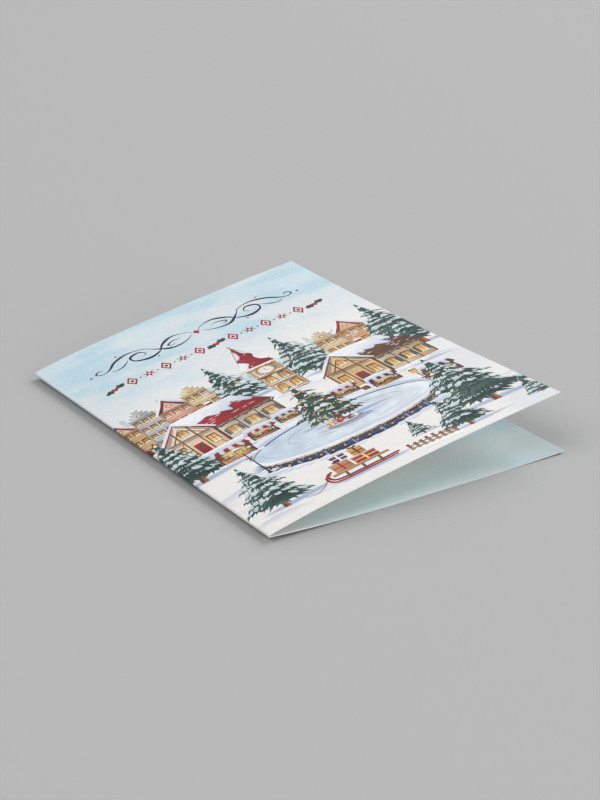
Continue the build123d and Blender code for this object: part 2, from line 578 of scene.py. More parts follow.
def snow_on_slope(pic, slope, share=0.50):
    """Snow on the upper part of a roof slope, its lower edge ragged with tongues and shaded like a drift."""
    a, b, c, d = np.array(slope, float)

    def down(t, deep):
        """Point a share t along the slope and a share deep down it."""
        return (d + (a - d) * deep) * (1 - t) + (c + (b - c) * deep) * t

    low = [down(t, share * pic.vary(0.55, 1.25) + (0.10 if k % 2 else -0.06))
           for k, t in enumerate(np.linspace(0, 1, 13))]
    top = [c + (0.7, 0.5), (c + d) / 2 + (0, 1.1), d + (-0.2, 1.0)]
    pic.shape(np.vstack([curve(low, 2), top]), SNOW, wash=0.2,
              fade=((c + d) / 2, (a + b) / 2, mix(SNOW, SNOW_DEEP, 0.75)))
    pic.stroke(low, [0.1, 0.5, 0.4, 0.5, 0.1], SNOW_DEEP, steps=2, cover=0.8)
    for k in range(6):
        q = down(pic.vary(0.05, 0.85), share * pic.vary(0.2, 0.8))
        along = (c - d) * pic.vary(0.06, 0.14)
        pic.stroke([q, q + along / 2 - (0, 0.15), q + along], [0.1, 0.5, 0.1], SNOW_SHADE, steps=2, cover=0.8)


def cottage(pic, x, y, front, side, wall, pitch, seed, plaster=CREAM, tile=RED, tile_dark=RED_DARK):
    """Gabled cottage: front gable on the left, long side falling back to the right, snow on its roof."""
    pic = pic.at(x, y, seed)
    rise, eave = 2.5, 1.4
    mid, top, far = front / 2, wall + pitch, front + side
    apex = (mid, top)
    pic.ground_shade(0.6 * front + 0.5 * side, -0.3, 0.62 * (front + side), 1.9, 1.4)
    inked(pic, [(front, 0), (far, rise), (far, rise + wall - 0.5), (front, wall)], mix(plaster, STONE, 0.5),
          ((front, 0), (far, rise), mix(plaster, TIMBER, 0.5)))
    for k in range(1, 7):
        v = wall * k / 7
        pen(pic, [(front, v), (front + side / 2, v + rise / 2 + pic.vary(-0.1, 0.1)), (far, rise + v)], 0.17,
            mix(TIMBER, plaster, 0.35))
    inked(pic, [(0, 0), (front, 0), (front, wall), apex, (0, wall)], plaster,
          ((0.2 * front, top), (front, 0), mix(plaster, TAN, 0.75)))
    shadow(pic, [(0, wall + 0.2), (front, wall + 0.2), (mid, top - 0.4), (mid, top - 3.4),
                 (front - 0.8, wall - 2.4), (0.8, wall - 2.4), (mid - 0.6, top - 3.6), (mid, top - 0.4)])
    for s in (0.02, 0.34, 0.66, 0.98):
        px = front * s
        up = wall + (pitch * (1 - abs(2 * s - 1)) if 0.1 < s < 0.9 else 0)
        pic.stroke([(px, 0), (px + 0.05, wall / 2), (px, up)], [0.75, 0.55, 0.7],
                   mix(TIMBER, BARK, pic.vary()), steps=2, wash=0.8)
    for v in (wall * 0.02, wall * 0.98):
        pic.stroke([(0, v), (mid, v + 0.1), (front, v)], [0.8, 0.6, 0.8], TIMBER, steps=2, wash=0.8)
    for m in (0.2, 0.8):
        pic.line((m * front, wall), (mid, wall + 0.62 * pitch), [0.6, 0.45], TIMBER)
        pic.line(((0.5 + 0.53 * (m - 0.5)) * front, wall * 0.95), ((0.5 + 1.5 * (m - 0.5)) * front, 0.1),
                 [0.3, 0.5], mix(TIMBER, TAN, 0.3))
    for s in (0.01, 0.33, 0.66, 0.98):
        px, py = front + side * s, rise * s
        pic.line((px, py), (px, py + wall - 0.4), [0.6, 0.45], TIMBER_DARK, wash=0.8)
    shadow(pic, [(front, wall - 1.2), (far, rise + wall - 1.6), (far, rise + wall - 3.6),
                 (front, wall - 3.3)])
    for s in (0.08, 0.42, 0.74):
        px, py = front + side * s + 0.5, rise * s + wall * 0.30
        window(pic, px, py, side * 0.15, wall * 0.32)
        for m in (-1, 1):
            shutter = px + side * 0.075 + m * side * 0.115
            pic.shape(box(shutter - 0.45, py, shutter + 0.45, py + wall * 0.32), mix(PINE, SLATE, 0.3),
                      pool=0.3, wash=0.8)
    window(pic, front * 0.42, wall * 1.18, front * 0.16, pitch * 0.18, arched=True)
    for s in (0.11, 0.74):
        window(pic, front * s, wall * 0.34, front * 0.15, wall * 0.36)
    door = box(front * 0.41, 0, front * 0.59, wall * 0.6)
    inked(pic, door, RED_DARK, (door[0], door[2], RED))
    wreath = pic.at(mid, wall * 0.42)
    wreath.blob(0, 0, front * 0.05 + 0.3, front * 0.05 + 0.3, PINE, count=11, wobble=0.15)
    wreath.blob(0, 0, front * 0.02 + 0.2, front * 0.02 + 0.2, RED_DARK, count=7)
    wreath.blob(0, -0.8, 0.45, 0.3, RED, count=6)
    slope = [(front + eave * 0.2, wall - 1.3), (far + eave, rise + wall - 1.3),
             (mid + side + 0.4, top + rise * 0.4), apex]
    inked(pic, slope, tile, (slope[3], slope[1], mix(tile, tile_dark, 0.8)))
    roof_rows(pic, slope, 9, tile_dark)
    for m, tint, px, py in ((-1, tile, -eave, wall - 1.6), (1, tile_dark, front + eave * 0.4, wall - 1.5)):
        inked(pic, [(px, py), (px + 0.2 * m, py + 1.5), (mid, top + 0.1), (mid, top - 1.5)], tint, line=0.16)
    slope = np.array(slope)
    stack = pic.at(*(slope[3] * 0.35 + slope[2] * 0.65))
    chimney(stack, 0, -2.2, 2.4, 5.2)
    snow_on_slope(pic, slope)
    stack.blob(1.2, -0.9, 2.3, 0.8, SNOW, count=10)
    for a, b in (((-eave - 0.2, wall - 0.1), apex), (apex, (front + eave * 0.9, wall - 0.1))):
        pic.stroke([a, np.add(a, b) / 2 + (0, 0.35), b], [0.9, 1.4, 1.0], SNOW, steps=4,
                   fade=(a, b, mix(SNOW, SNOW_SHADE, 0.7)))
    swag(pic, [slope[0] * (1 - t) + slope[1] * t - (0, 0.5) for t in np.linspace(0, 1, 6)], 1.1)
    snow_cap(pic, (-0.5, -0.6), (far + 0.5, rise - 0.6), 1.4, lip=0.4)


def chimney(pic, x, y, w, h):
    """Brick chimney with a cap of snow and a curl of smoke."""
    pic = pic.at(x, y)
    for k in range(4):
        pic.blob(w / 2 + 1.3 * k, h + 2.2 + 1.8 * k, 1.1 + 0.5 * k, 0.8 + 0.35 * k, CLOUD,
                 cover=0.5 - 0.08 * k, soft=0.8, wobble=0.2)
    inked(pic, box(0, 0, w, h), BARK_WARM, ((0, 0), (w, 0), BARK))
    for k in range(1, 6):
        pen(pic, [(0, h * k / 6), (w / 2, h * k / 6 + 0.1), (w, h * k / 6)], 0.2, RED_DARK)
    pic.blob(w / 2, h + 0.2, w * 0.68, 0.75, SNOW, count=10)


def masonry(pic, w, h, n, tint):
    """A scatter of short pen marks on a wall, where a few of its stones or bricks are picked out."""
    for _ in range(n):
        px, py, r = pic.vary(0.08, 0.86) * w, pic.vary(0.03, 0.95) * h, pic.vary(0.5, 1.0)
        if pic.vary() < 0.4:
            pic.shape([(px, py), (px + r, py + 0.05), (px + r, py + 0.5), (px, py + 0.45)], tint, cover=0.55)
        else:
            pen(pic, [(px, py), (px + r / 2, py + 0.06), (px + r, py)], 0.2, tint)


def tower(pic, x, y, w, h, cap, seed):
    """Slim clock tower with a tall red spire, a gold ball at its tip and snow on its ledges."""
    pic = pic.at(x, y, seed)
    inked(pic, box(0, 0, w, h), CREAM, ((0, 0), (w, 0), mix(TAN, STONE, 0.4)))
    masonry(pic, w, h, 34, mix(TIMBER, TAN, 0.5))
    shadow(pic, [(0.74 * w, 0), (w, 0), (w, h), (0.80 * w, h)], 0.5)
    for v in (0.03, 0.36, 0.68, 0.97):
        ledge = pic.at(0, h * v)
        ledge.line((-0.5, 0), (w + 0.5, 0), 0.9, TAN, wash=0.7)
        ledge.line((-0.5, -0.5), (w + 0.5, -0.5), 0.3, TIMBER)
        ledge.stroke([(-0.5, 0.6), (w / 2, 0.8), (w + 0.5, 0.6)], [0.4, 0.7, 0.4], SNOW, steps=3)
        shadow(ledge, [(0, -0.6), (w, -0.6), (w, -1.7), (0, -1.4)])
    for s in (0.05, 0.95):
        pic.line((w * s, 0), (w * s, h), 0.7, TAN, wash=0.7)
    for s in (0.12, 0.58):
        for foot, high in ((0.10, 0.14), (0.43, 0.13)):
            window(pic, w * (s + 0.02), h * foot, w * 0.24, h * high, arched=True)
    dial = pic.at(w / 2, h * 0.83)
    for r, tint in ((0.33, TIMBER), (0.30, GOLD), (0.245, PAPER)):
        dial.dot(0, 0, w * r, tint, 20, pool=0.2)
    for a in np.arange(12) * np.pi / 6:
        dial.line(arc(0, 0, 0.18 * w, 0.18 * w, a), arc(0, 0, 0.22 * w, 0.22 * w, a), 0.22, NAVY_DARK)
    for hand in ((0.02 * w, 0.17 * w), (0.12 * w, -0.05 * w)):
        dial.line((0, 0), hand, [0.34, 0.2], NAVY_DARK)
    spire = pic.at(w / 2, h)
    half = w / 2 + 1.3
    slope = [(-half, 0), (half, 0), (0.2, cap), (-0.2, cap)]
    inked(spire, slope, RED, ((-w / 2, 0), (w / 2, 0), RED_DARK))
    roof_rows(spire, slope, 10, RED_DARK)
    for s in (-0.44, 0, 0.44):
        spire.line((half * s, 0), (0, cap * 0.97), [0.4, 0.12], mix(RED_DARK, NAVY_DARK, 0.3), cover=0.8)
    for m, low, high, deep in ((-1, 0.02, 0.40, 0.62), (-1, 0.50, 0.86, 0.75),
                               (1, 0.18, 0.52, 0.40), (1, 0.62, 0.92, 0.6)):
        q = np.linspace(low, high, 7)
        bulge = deep * np.sqrt(np.clip(np.sin(np.pi * (q - low) / (high - low)), 0, 1))
        bulge *= pic.vary(0.75, 1.1, 7)
        rim = np.stack([m * (half + 0.15) * (1 - q), cap * q], 1)
        inner = np.stack([m * half * (1 - q) * (1 - bulge), cap * q - 0.3], 1)
        spire.between(rim, inner, SNOW, fade=((m * w / 2, 0), (0, 0), mix(SNOW, SNOW_SHADE, 0.7)))
    snow_cap(spire, (-half - 0.3, -0.1), (half + 0.3, -0.1), 0.9)
    spire.line((0, cap), (0, cap + 3.2), [0.3, 0.2], TIMBER_DARK)
    spire.dot(0, cap + 1.2, 0.75, GOLD, 12, pool=0.3)
    swag(pic, [(-0.6, h * 0.66), (w / 2, h * 0.66), (w + 0.6, h * 0.66)], 1.0)


def lamp_post(pic, x, y, h, seed):
    """Street lamp: slim dark post, lit lantern with a snow cap, red bow and a soft halo."""
    pic = pic.at(x, y, seed)
    head, bow = pic.at(0, h), pic.at(0, h * 0.62)
    head.blob(0, -2.2, 5.2, 5.2, GOLD_PALE, wobble=0.03, cover=0.55, soft=4.5)
    pic.ground_shade(1.2, 0, 2.8, 0.5, 0.4)
    pic.stroke([(0, 0), (0, h * 0.5), (0, h - 4)], [0.9, 0.5, 0.42], NAVY_DARK, steps=2)
    pic.blob(0, 0.5, 0.95, 0.7, NAVY_DARK, wobble=0, count=10)
    lantern = [(-0.8, -4), (0.8, -4), (1.35, -0.9), (-1.35, -0.9)]
    head.shape(lantern, GOLD, fade=((0, 0), (0, -4), GOLD_PALE))
    for a, b, width in ((lantern[0], lantern[3], 0.26), (lantern[1], lantern[2], 0.26),
                        ((0, -4), (0, -0.9), 0.2)):
        head.line(a, b, width, NAVY_DARK)
    head.shape([(-1.7, -0.9), (1.7, -0.9), (0, 0.7)], NAVY_DARK)
    head.blob(0, 0.25, 1.5, 0.62, SNOW, count=10)
    for m in (-1, 1):
        bow.blob(m * 0.75, 0, 0.75, 0.42, RED, count=8, turn=m * 0.4)
        bow.line((0, 0), (m * 0.7, -1.9), [0.4, 0.25], RED_DARK)


def rink(pic, x, y, rx, ry, seed):
    """Round ice rink: pale ice with reflections and skate marks, and round it a navy board with a cream rail,
    gold studs, evergreen swags and snow on top."""
    pic = pic.at(x, y, seed)
    drop = 6.4
    pic.ground_shade(0, -6.0, rx * 1.10, ry * 1.02, 3.0, 0.85, count=40, wobble=0.02)
    a = np.linspace(0, 2 * np.pi, 64, endpoint=False)
    pic.shape(arc(0, 0, rx, ry, a), SLATE)
    pic.shape(arc(0, 0.5, rx * 0.985, ry * 0.97, a), ICE, wash=0.45,
              fade=((-rx, ry), (rx * 0.6, -ry), mix(ICE, SNOW, 0.6)))
    for k in range(26):
        t, away = pic.vary(0, 2 * np.pi), np.sqrt(pic.vary(0, 0.8))
        glint = pic.at(*arc(0, 0.5, rx * away, ry * away, t))
        glint.blob(0, 0, pic.vary(1.6, 5.0), pic.vary(0.3, 0.8),
                   (SNOW_DEEP, SNOW, ICE_ROSE, ICE, SLATE)[k % 5], cover=0.45, soft=0.3, count=12)
    for k in range(34):
        start, span, away = pic.vary(0, 2 * np.pi), pic.vary(0.35, 1.2), pic.vary(0.2, 0.82)
        ox, oy = pic.vary(-0.12, 0.12, 2)
        skated = arc(rx * ox, 0.8 + ry * oy, rx * away, ry * away, np.linspace(start, start + span, 6))
        pic.stroke(skated, [0.05, 0.30, 0.05], (SNOW, SLATE, SNOW, SNOW_DEEP)[k % 4], steps=2, cover=0.8)
    front = arc(0, 0, rx, ry, np.linspace(np.pi, 2 * np.pi, 40))
    for high, low, tint, dark in ((0, drop, NAVY, SLATE), (0.1, 1.9, CREAM, TAN)):
        pic.between(front - (0, high), front - (0, low), tint, wash=0.7,
                    fade=((-rx, 0), (rx, 0), mix(tint, dark, 0.4)))
    for down, width, tint in ((1.0, 0.3, BARK_WARM), (1.95, 0.42, TIMBER_DARK), (2.9, 0.25, SLATE),
                              (5.3, 0.5, NAVY_DARK), (6.2, 0.6, NAVY_DARK)):
        pic.stroke(front - (0, down), [0.2, width, width, width, 0.2], tint, steps=1)
    for place in arc(0, 0, rx, ry, np.linspace(np.pi * 1.04, np.pi * 1.96, 23)):
        stud = pic.at(*place)
        stud.blob(0, -4.2, 0.5, 0.55, GOLD, wobble=0, count=8)
        stud.line((0, -0.3), (0, -1.7), 0.3, mix(RED_DARK, TIMBER, 0.4))
    posts = arc(0, 0, rx, ry, np.linspace(np.pi * 1.06, np.pi * 1.94, 10))
    for place in posts:
        post = pic.at(*place)
        post.line((0, 0.9), (0, -drop), 1.25, mix(NAVY, SLATE, 0.5), pool=0.3)
        post.line((-0.3, 0.5), (-0.3, 0.3 - drop), 0.3, mix(SLATE, SNOW, 0.5))
    swag(pic, posts - (0, 2.0), 0.9)
    near = np.linspace(np.pi * 0.98, 2.02 * np.pi, 60)
    puff = 1 + 0.006 * np.sin(9 * near) + 0.006 * np.sin(23 * near)
    inner = arc(0, 1.1, rx - 1.1, ry - 0.3, near)
    pic.between(arc(0, -0.1, (rx + 0.7) * puff, (ry + 0.9) * puff, near), inner, SNOW,
                fade=((-rx, 0), (rx, -ry), mix(SNOW, SNOW_SHADE, 0.5)))
    pic.stroke(inner[2:-2], [0.1, 0.35, 0.3, 0.35, 0.1], SNOW_DEEP, steps=1, cover=0.8)
    far = np.linspace(0.02 * np.pi, 0.98 * np.pi, 30)
    inner = arc(0, 0.4, rx - 0.9, ry - 0.2, far)
    pic.between(arc(0, 1.6, rx + 0.4, ry + 1.4, far), inner, SNOW,
                fade=((0, ry + 2), (0, ry - 1), SNOW_SHADE))
    pic.stroke(inner, [0.2, 0.7, 0.6, 0.7, 0.2], mix(NAVY, SLATE, 0.3), steps=1)
    for k in range(22):
        t = np.pi * (1.02 + 0.96 * (k + pic.vary(0, 0.6)) / 22)
        heap = pic.at(*arc(0, -drop - 0.4, rx * 1.02, ry * 1.02, t))
        heap.blob(0, 0, pic.vary(1.8, 4.2), pic.vary(0.6, 1.3), SNOW, count=12, wobble=0.18,
                  fade=((0, 0.9), (0, -1.3), SNOW_SHADE))


def parcel(pic, x, y, w, h, tint, band):
    """Wrapped box: front, a sliver of lid, ribbon both ways and a bow."""
    pic = pic.at(x, y)
    pic.shape(box(0, 0, w, h), tint, fade=((0, h), (w, 0), mix(tint, BARK, 0.4)), pool=0.3)
    pic.shape(box(-0.3, h - 0.9, w + 0.3, h), mix(tint, SNOW, 0.25), pool=0.3)
    pic.line((w * 0.5, 0), (w * 0.5, h), 0.8, band)
    pic.line((0, h * 0.45), (w, h * 0.45), 0.6, band)
    for m in (-1, 1):
        pic.blob(w * 0.5 + m * 0.95, h + 0.55, 0.95, 0.5, band, count=8, turn=m * 0.5, pool=0.3)
    pic.blob(w * 0.5, h + 0.35, 0.4, 0.4, mix(band, BARK, 0.3), count=6)


def sledge(pic, x, y, s, seed):
    """Wooden sledge loaded with parcels, its rope trailing in the snow. s is its scale."""
    pic = pic.at(x, y, seed)
    pic.ground_shade(10 * s, -0.5 * s, 13 * s, 1.5 * s, 0.9, 0.85)
    runner = np.array([(0.5, 5.4), (-1.6, 4.2), (-1.2, 1.2), (2, 0.1), (11, 0), (20, 0.3)]) * s
    for lift, tint in ((s, RED_DARK), (0.0, RED)):
        pic.stroke(runner + (lift * 0.9, lift), [0.8 * s, 0.9 * s, 0.8 * s], tint)
    for px in (4, 9.5, 15):
        pic.line((px * s, 0), ((px + 0.3) * s, 3.6 * s), [0.9 * s, 0.8 * s], TIMBER)
    pic.line((0.4 * s, 3.8 * s), (19 * s, 4.0 * s), [1.3 * s, 1.2 * s], TAN, pool=0.3)
    pic.line((0.4 * s, 3.4 * s), (19 * s, 3.6 * s), [0.35 * s, 0.3 * s], TIMBER)
    for px, py, w, h, tint, band in ((2.2, 4.5, 6.0, 5.0, TAN, RED), (9.0, 4.6, 7.6, 3.8, RED, GOLD_PALE),
                                     (4.6, 9.9, 4.6, 3.4, NAVY, PAPER),
                                     (10.6, 8.8, 4.2, 4.4, GOLD, RED_DARK)):
        parcel(pic, px * s, py * s, w * s, h * s, tint, band)
    rope = np.array([(-1.4, 4.0), (-4, 1.2), (-7.5, -0.3), (-10.5, 0.5)]) * s
    pic.stroke(rope, [0.3, 0.34, 0.3, 0.2], BARK)


def fence(pic, x0, y0, x1, y1, n, h, seed):
    """Picket fence in snow: leaning pickets, two rails, a cap of snow on each."""
    pic = pic.at(x0, y0, seed)
    run = np.array((x1 - x0, y1 - y0))
    for v in (0.35, 0.72):
        rail = pic.at(0, h * v)
        rail.line((0, 0), run, 0.7, TIMBER)
        rail.stroke([(0, 0.4), run / 2 + (0, 0.5), run + (0, 0.4)], [0.3, 0.5, 0.3], SNOW, steps=3)
    for t in np.linspace(0, 1, n):
        picket = pic.at(*run * t)
        lean, high = pic.vary(-0.25, 0.25), h * pic.vary(0.9, 1.08)
        picket.shape([(-0.6, 0), (0.6, 0), (0.6 + lean, high), (lean, high + 0.8), (lean - 0.6, high)], TAN,
                     fade=((0, 0), (0, high), TIMBER), pool=0.25)
        picket.blob(lean, high + 0.7, 0.95, 0.55, SNOW, count=8)
    snow_cap(pic, (-2, -0.7), run + (2, -0.7), 1.7)


def holly(pic, s):
    """Pair of holly leaves with three berries."""
    t = np.linspace(0, 1, 7)
    up = np.where(np.arange(7) % 2, 0.62, 0.34) * np.sin(np.pi * t) + 0.02
    leaf = np.vstack([np.stack([t, up], 1), np.stack([t, -up], 1)[::-1]]) * (3.2 * s, 1.9 * s)
    for m in (-1, 1):
        pic.shape(turned(leaf, 0.35 * m) * (m, 1), PINE, fade=((0, 0), (m * 3 * s, 0), PINE_DARK))
    for dx, dy in ((-0.5, 0.1), (0.5, 0.1), (0, -0.6)):
        pic.dot(dx * s, dy * s, 0.5 * s, RED, 9, pool=0.25)


def flourish(pic, x, y, s):
    """Penned scroll in dark blue that swells on each down stroke, the same to both sides of its middle."""
    pic = pic.at(x, y, 1)
    strokes = [
        ([(0.6, 0.2), (4, 3.4), (9, 4.6), (14, 1.6), (17, -2.4), (22, -4.2), (27, -1.8), (27.4, 2.2),
          (23.6, 3.6), (21.4, 1.0), (23, -0.8)], [0.2, 0.4, 1.5, 0.5, 1.8, 0.7, 1.4, 0.4, 0.3]),
        ([(2.2, -0.6), (6.5, -3.6), (12.5, -4.0), (17.6, 0.6), (21, 4.8), (27, 6.4), (33, 4.2), (37, 0.4),
          (40, -0.8), (42.4, 0.8), (41, 2.6), (39.2, 1.6)],
         [0.2, 0.7, 1.5, 0.4, 0.5, 1.4, 1.1, 0.5, 0.6, 0.8, 0.3]),
        ([(6.4, 0.3), (9.6, 1.0), (12.6, -0.6), (11.4, -2.0), (9.8, -1.2)], [0.15, 0.7, 0.9, 0.4, 0.15]),
        ([(28.6, 1.4), (31.8, -1.6), (35, -2.6), (37.2, -1.4)], [0.15, 0.8, 0.6, 0.15]),
    ]
    for m in (-1, 1):
        for points, widths in strokes:
            pic.stroke(np.array(points) * (m * s, s), widths, NAVY_DARK)
        for px, py, r in ((30.6, 7.9, 0.55), (19.2, -5.6, 0.5), (44.8, 0.4, 0.6)):
            pic.dot(m * px * s, py * s, r * s, RED, 12)
    pic.shape(diamond(1.3 * s, 1.9 * s), RED, pool=0.2)


def ornament_row(pic, x0, x1, y, n, seed):
    """Row of red lozenges, six-pointed stars and dots, with holly at its middle and its two ends."""
    pic = pic.at(0, y, seed)
    places = np.linspace(x0, x1, n)
    for k, px in enumerate(places):
        spot = pic.at(px, 0)
        if k in (0, n // 2, n - 1):
            holly(spot, 1.55)
        elif k % 2:
            for r, tint in ((1.0, RED), (0.62, PAPER), (0.34, RED_DARK)):
                spot.shape(diamond(2.3 * r, 4.0 * r), tint, pool=0.2)
        else:
            spot.shape(star(6, np.pi / 6, 3.1, 1.0), RED_DARK, fade=((-3, 0), (3, 0), RED))
            spot.dot(0, 0, 0.6, PAPER, 8)
    for px in places[:-1] + (x1 - x0) / (n - 1) / 2:
        pic.dot(px, 0, 0.5, RED, 9)


def hill(pic, points, tint, low, shade):
    """Far snowy rise: a soft crest through the given points, shaded towards its foot."""
    crest = curve(points, 8)
    pic.shape(np.vstack([crest, [(crest[-1][0], low), (crest[0][0], low)]]), tint, soft=2.2,
              fade=((0, max(p[1] for p in points)), (0, low), shade))


def bank(pic, points, deep):
    """Lee side of a snow bank: crisp along its crest, then fading into the snow a little way below."""
    crest = curve(points)
    fall = deep * np.sin(np.pi * np.linspace(0, 1, len(crest))) ** 0.6
    top = max(p[1] for p in points)
    pic.between(crest, lifted(crest, -fall), mix(SNOW_SHADE, SNOW_DEEP, 0.45), glaze=True, cover=0.6,
                fade=((0, top), (0, top - deep), WHITE))


def snow_foot(pic, points, high):
    """Snow heaped along the foot of a wall: overlapping rounded heaps, each with a shaded belly."""
    for place in curve(points, 3):
        r = high * pic.vary(0.8, 1.3)
        pic.at(*place).blob(0, 0.1 * r, 1.9 * r, 0.75 * r, SNOW, count=11, wobble=0.08,
                            fade=((0, 0.5 * r), (-0.4 * r, -0.8 * r), SNOW_SHADE))


def town_house(pic, x, y, w, h, gable, tint, roof, seed, steps=False):
    """Narrow town house seen square on: lit windows, cornices, a stepped or a pointed gable with snow."""
    pic = pic.at(x, y, seed)
    mid = w / 2
    top = pic.at(mid, h)
    shade = mix(tint, TIMBER, 0.35)
    inked(pic, box(0, 0, w, h), tint, ((0, 0), (w, h), mix(tint, TAN, 0.45)))
    if steps:
        n = 4
        left = [(mid * k / n - mid, gable * up / n) for k in range(n) for up in (k, k + 1)]
        inked(top, left + [(-px, py) for px, py in left[::-1]], tint, ((-mid, 0), (mid, 0), shade), line=0.2)
        for k in range(n):
            for m in (-1, 1):
                top.blob(m * mid * (1 - (k + 0.5) / n), gable * (k + 1) / n + 0.1, mid / n * 0.72, 0.5, SNOW,
                         count=9)
    else:
        inked(top, [(-mid - 0.8, -0.4), (mid + 0.8, -0.4), (0.1, gable), (-0.1, gable)], roof,
              ((-mid, 0), (mid, 0), mix(roof, TIMBER_DARK, 0.45)))
        inked(top, [(-0.36 * w, -0.1), (0.36 * w, -0.1), (0, 0.72 * gable)], mix(tint, CREAM, 0.3), line=0.3)
        for m in (-1, 1):
            top.stroke([(m * (mid + 1.1), -0.5), (m * w / 4, gable / 2 + 0.4), (0, gable + 0.3)],
                       [1.0, 1.3, 0.8], SNOW, steps=4, fade=((-mid, 0), (mid, 0), mix(SNOW, SNOW_SHADE, 0.8)))
    masonry(pic, w, h + 0.3 * gable, 30, shade)
    shadow(top, [(-mid, -0.3), (mid, -0.3), (mid, -2.4), (-mid, -1.2)], 0.5)
    floors, columns = round(h / 7.5), 3
    for f in range(floors):
        sill, cornice = h * (f + 0.34) / floors, h * (f + 1) / floors - 0.3
        pic.line((0, cornice), (w, cornice), 0.45, mix(tint, TIMBER, 0.55), wash=0.8)
        for c in range(columns):
            if (f, c) != (0, 1):
                window(pic, w * (c + 0.5) / columns - 0.08 * w, sill, 0.16 * w, h * 0.38 / floors)
    door = [(-0.11 * w, 0), (0.11 * w, 0), (0.11 * w, 4.0), (0, 4.9), (-0.11 * w, 4.0)]
    inked(pic.at(mid, 0), door, TIMBER_DARK, ((0, 0), (0, 4), RED_DARK))
    for r, eye in ((0.11, TIMBER), (0.085, GOLD_PALE)):
        top.dot(0, 0.30 * gable, r * w, eye, 10, pool=0.3)
    swag(pic, [(0.2, 5.6), (mid, 5.4), (w - 0.2, 5.6)], 0.8)
    snow_foot(pic, [(0, -0.4), (mid, -0.7), (w, -0.4)], 1.0)


def stall(pic, x, y, w, h, seed, stripe=RED):
    """Market stall: lit counter with goods under a striped, scalloped awning with snow on it."""
    pic = pic.at(x, y, seed)
    mid = w / 2
    pic.ground_shade(mid + 1, -0.3, 0.75 * w, 1.1, 0.8, 0.85)
    pic.shape(box(0, 0, w, h), TIMBER_DARK, fade=((0, h), (0, 0.4 * h), TIMBER))
    pic.blob(mid, 0.66 * h, 0.45 * w, 0.20 * h, GOLD_PALE, cover=0.8, soft=0.16 * h)
    pic.shape(box(-0.5, 0, w + 0.5, 0.42 * h), TAN, fade=((0, 0), (w, 0), TIMBER), pool=0.25)
    for k in range(1, 6):
        px = (w + 1) * k / 6 - 0.5
        pen(pic, [(px, 0), (px + 0.04, 0.2 * h), (px, 0.4 * h)], 0.2, TIMBER)
    for k in range(7):
        goods = (RED, GOLD, CREAM, ROSE)[k % 4]
        pic.blob(w * (k + 0.5) / 7, 0.47 * h, 0.068 * w, 0.062 * h + 0.2, goods, count=8, pool=0.3)
    for px in (0, w):
        pic.line((px, 0), (px, h), [0.7, 0.6], TIMBER_DARK)
    swag(pic, [(-0.4, 0.40 * h), (mid, 0.40 * h), (w + 0.4, 0.40 * h)], 0.7)
    top, low, eave, panels = 1.32 * h, 0.86 * h, 1.6, 8
    for k in range(panels):
        a, b = k / panels, (k + 1) / panels
        left, right = (w + 2 * eave) * a - eave, (w + 2 * eave) * b - eave
        lip = [(left + (right - left) * q, low - 0.95 * np.sin(np.pi * q)) for q in (0.25, 0.5, 0.75)]
        pic.shape([(left, low)] + lip + [(right, low), (w * b, top), (w * a, top)],
                  stripe if k % 2 else PAPER, pool=0.2,
                  fade=((0, top), (0, low), mix(stripe, RED_DARK, 0.35) if k % 2 else SNOW_SHADE))
    edge = np.stack([np.linspace(-0.3, w + 0.3, 9), top - 0.9 - pic.vary(0.8, 1.2, 9)], 1)
    pic.shape(np.vstack([curve(edge, 2), [(w + 0.2, top + 0.5), (mid, top + 1.1), (-0.2, top + 0.5)]]), SNOW,
              fade=((0, top + 1), (0, top - 2), SNOW_SHADE))
    snow_foot(pic, [(-1, -0.5), (mid, -0.8), (w + 1, -0.5)], 0.9)


def barrel(pic, x, y, r, seed):
    """Small barrel with two hoops and three red apples on its lid."""
    pic = pic.at(x, y, seed)
    v = np.linspace(-1, 1, 7)
    bulge, up = 0.55 * r * (1 + 0.18 * (1 - v**2)), r * (1 + v) / 1.6
    pic.ground_shade(0.5 * r, 0, 1.1 * r, 0.25 * r, 0.2 * r)
    inked(pic, np.vstack([np.stack([bulge, up], 1), np.stack([-bulge, up], 1)[::-1]]), BARK_WARM,
          ((-0.5 * r, 0), (0.6 * r, 0), BARK), line=0.14)
    for f in (0.28, 0.95):
        pic.stroke([(-0.62 * r, f * r), (0, (f - 0.07) * r), (0.62 * r, f * r)], [0.3, 0.34, 0.3], NAVY_DARK,
                   steps=2)
    for dx in (-0.3, 0.05, 0.35):
        pic.blob(dx * r, 1.3 * r, 0.2 * r, 0.2 * r, RED, count=7, pool=0.3)


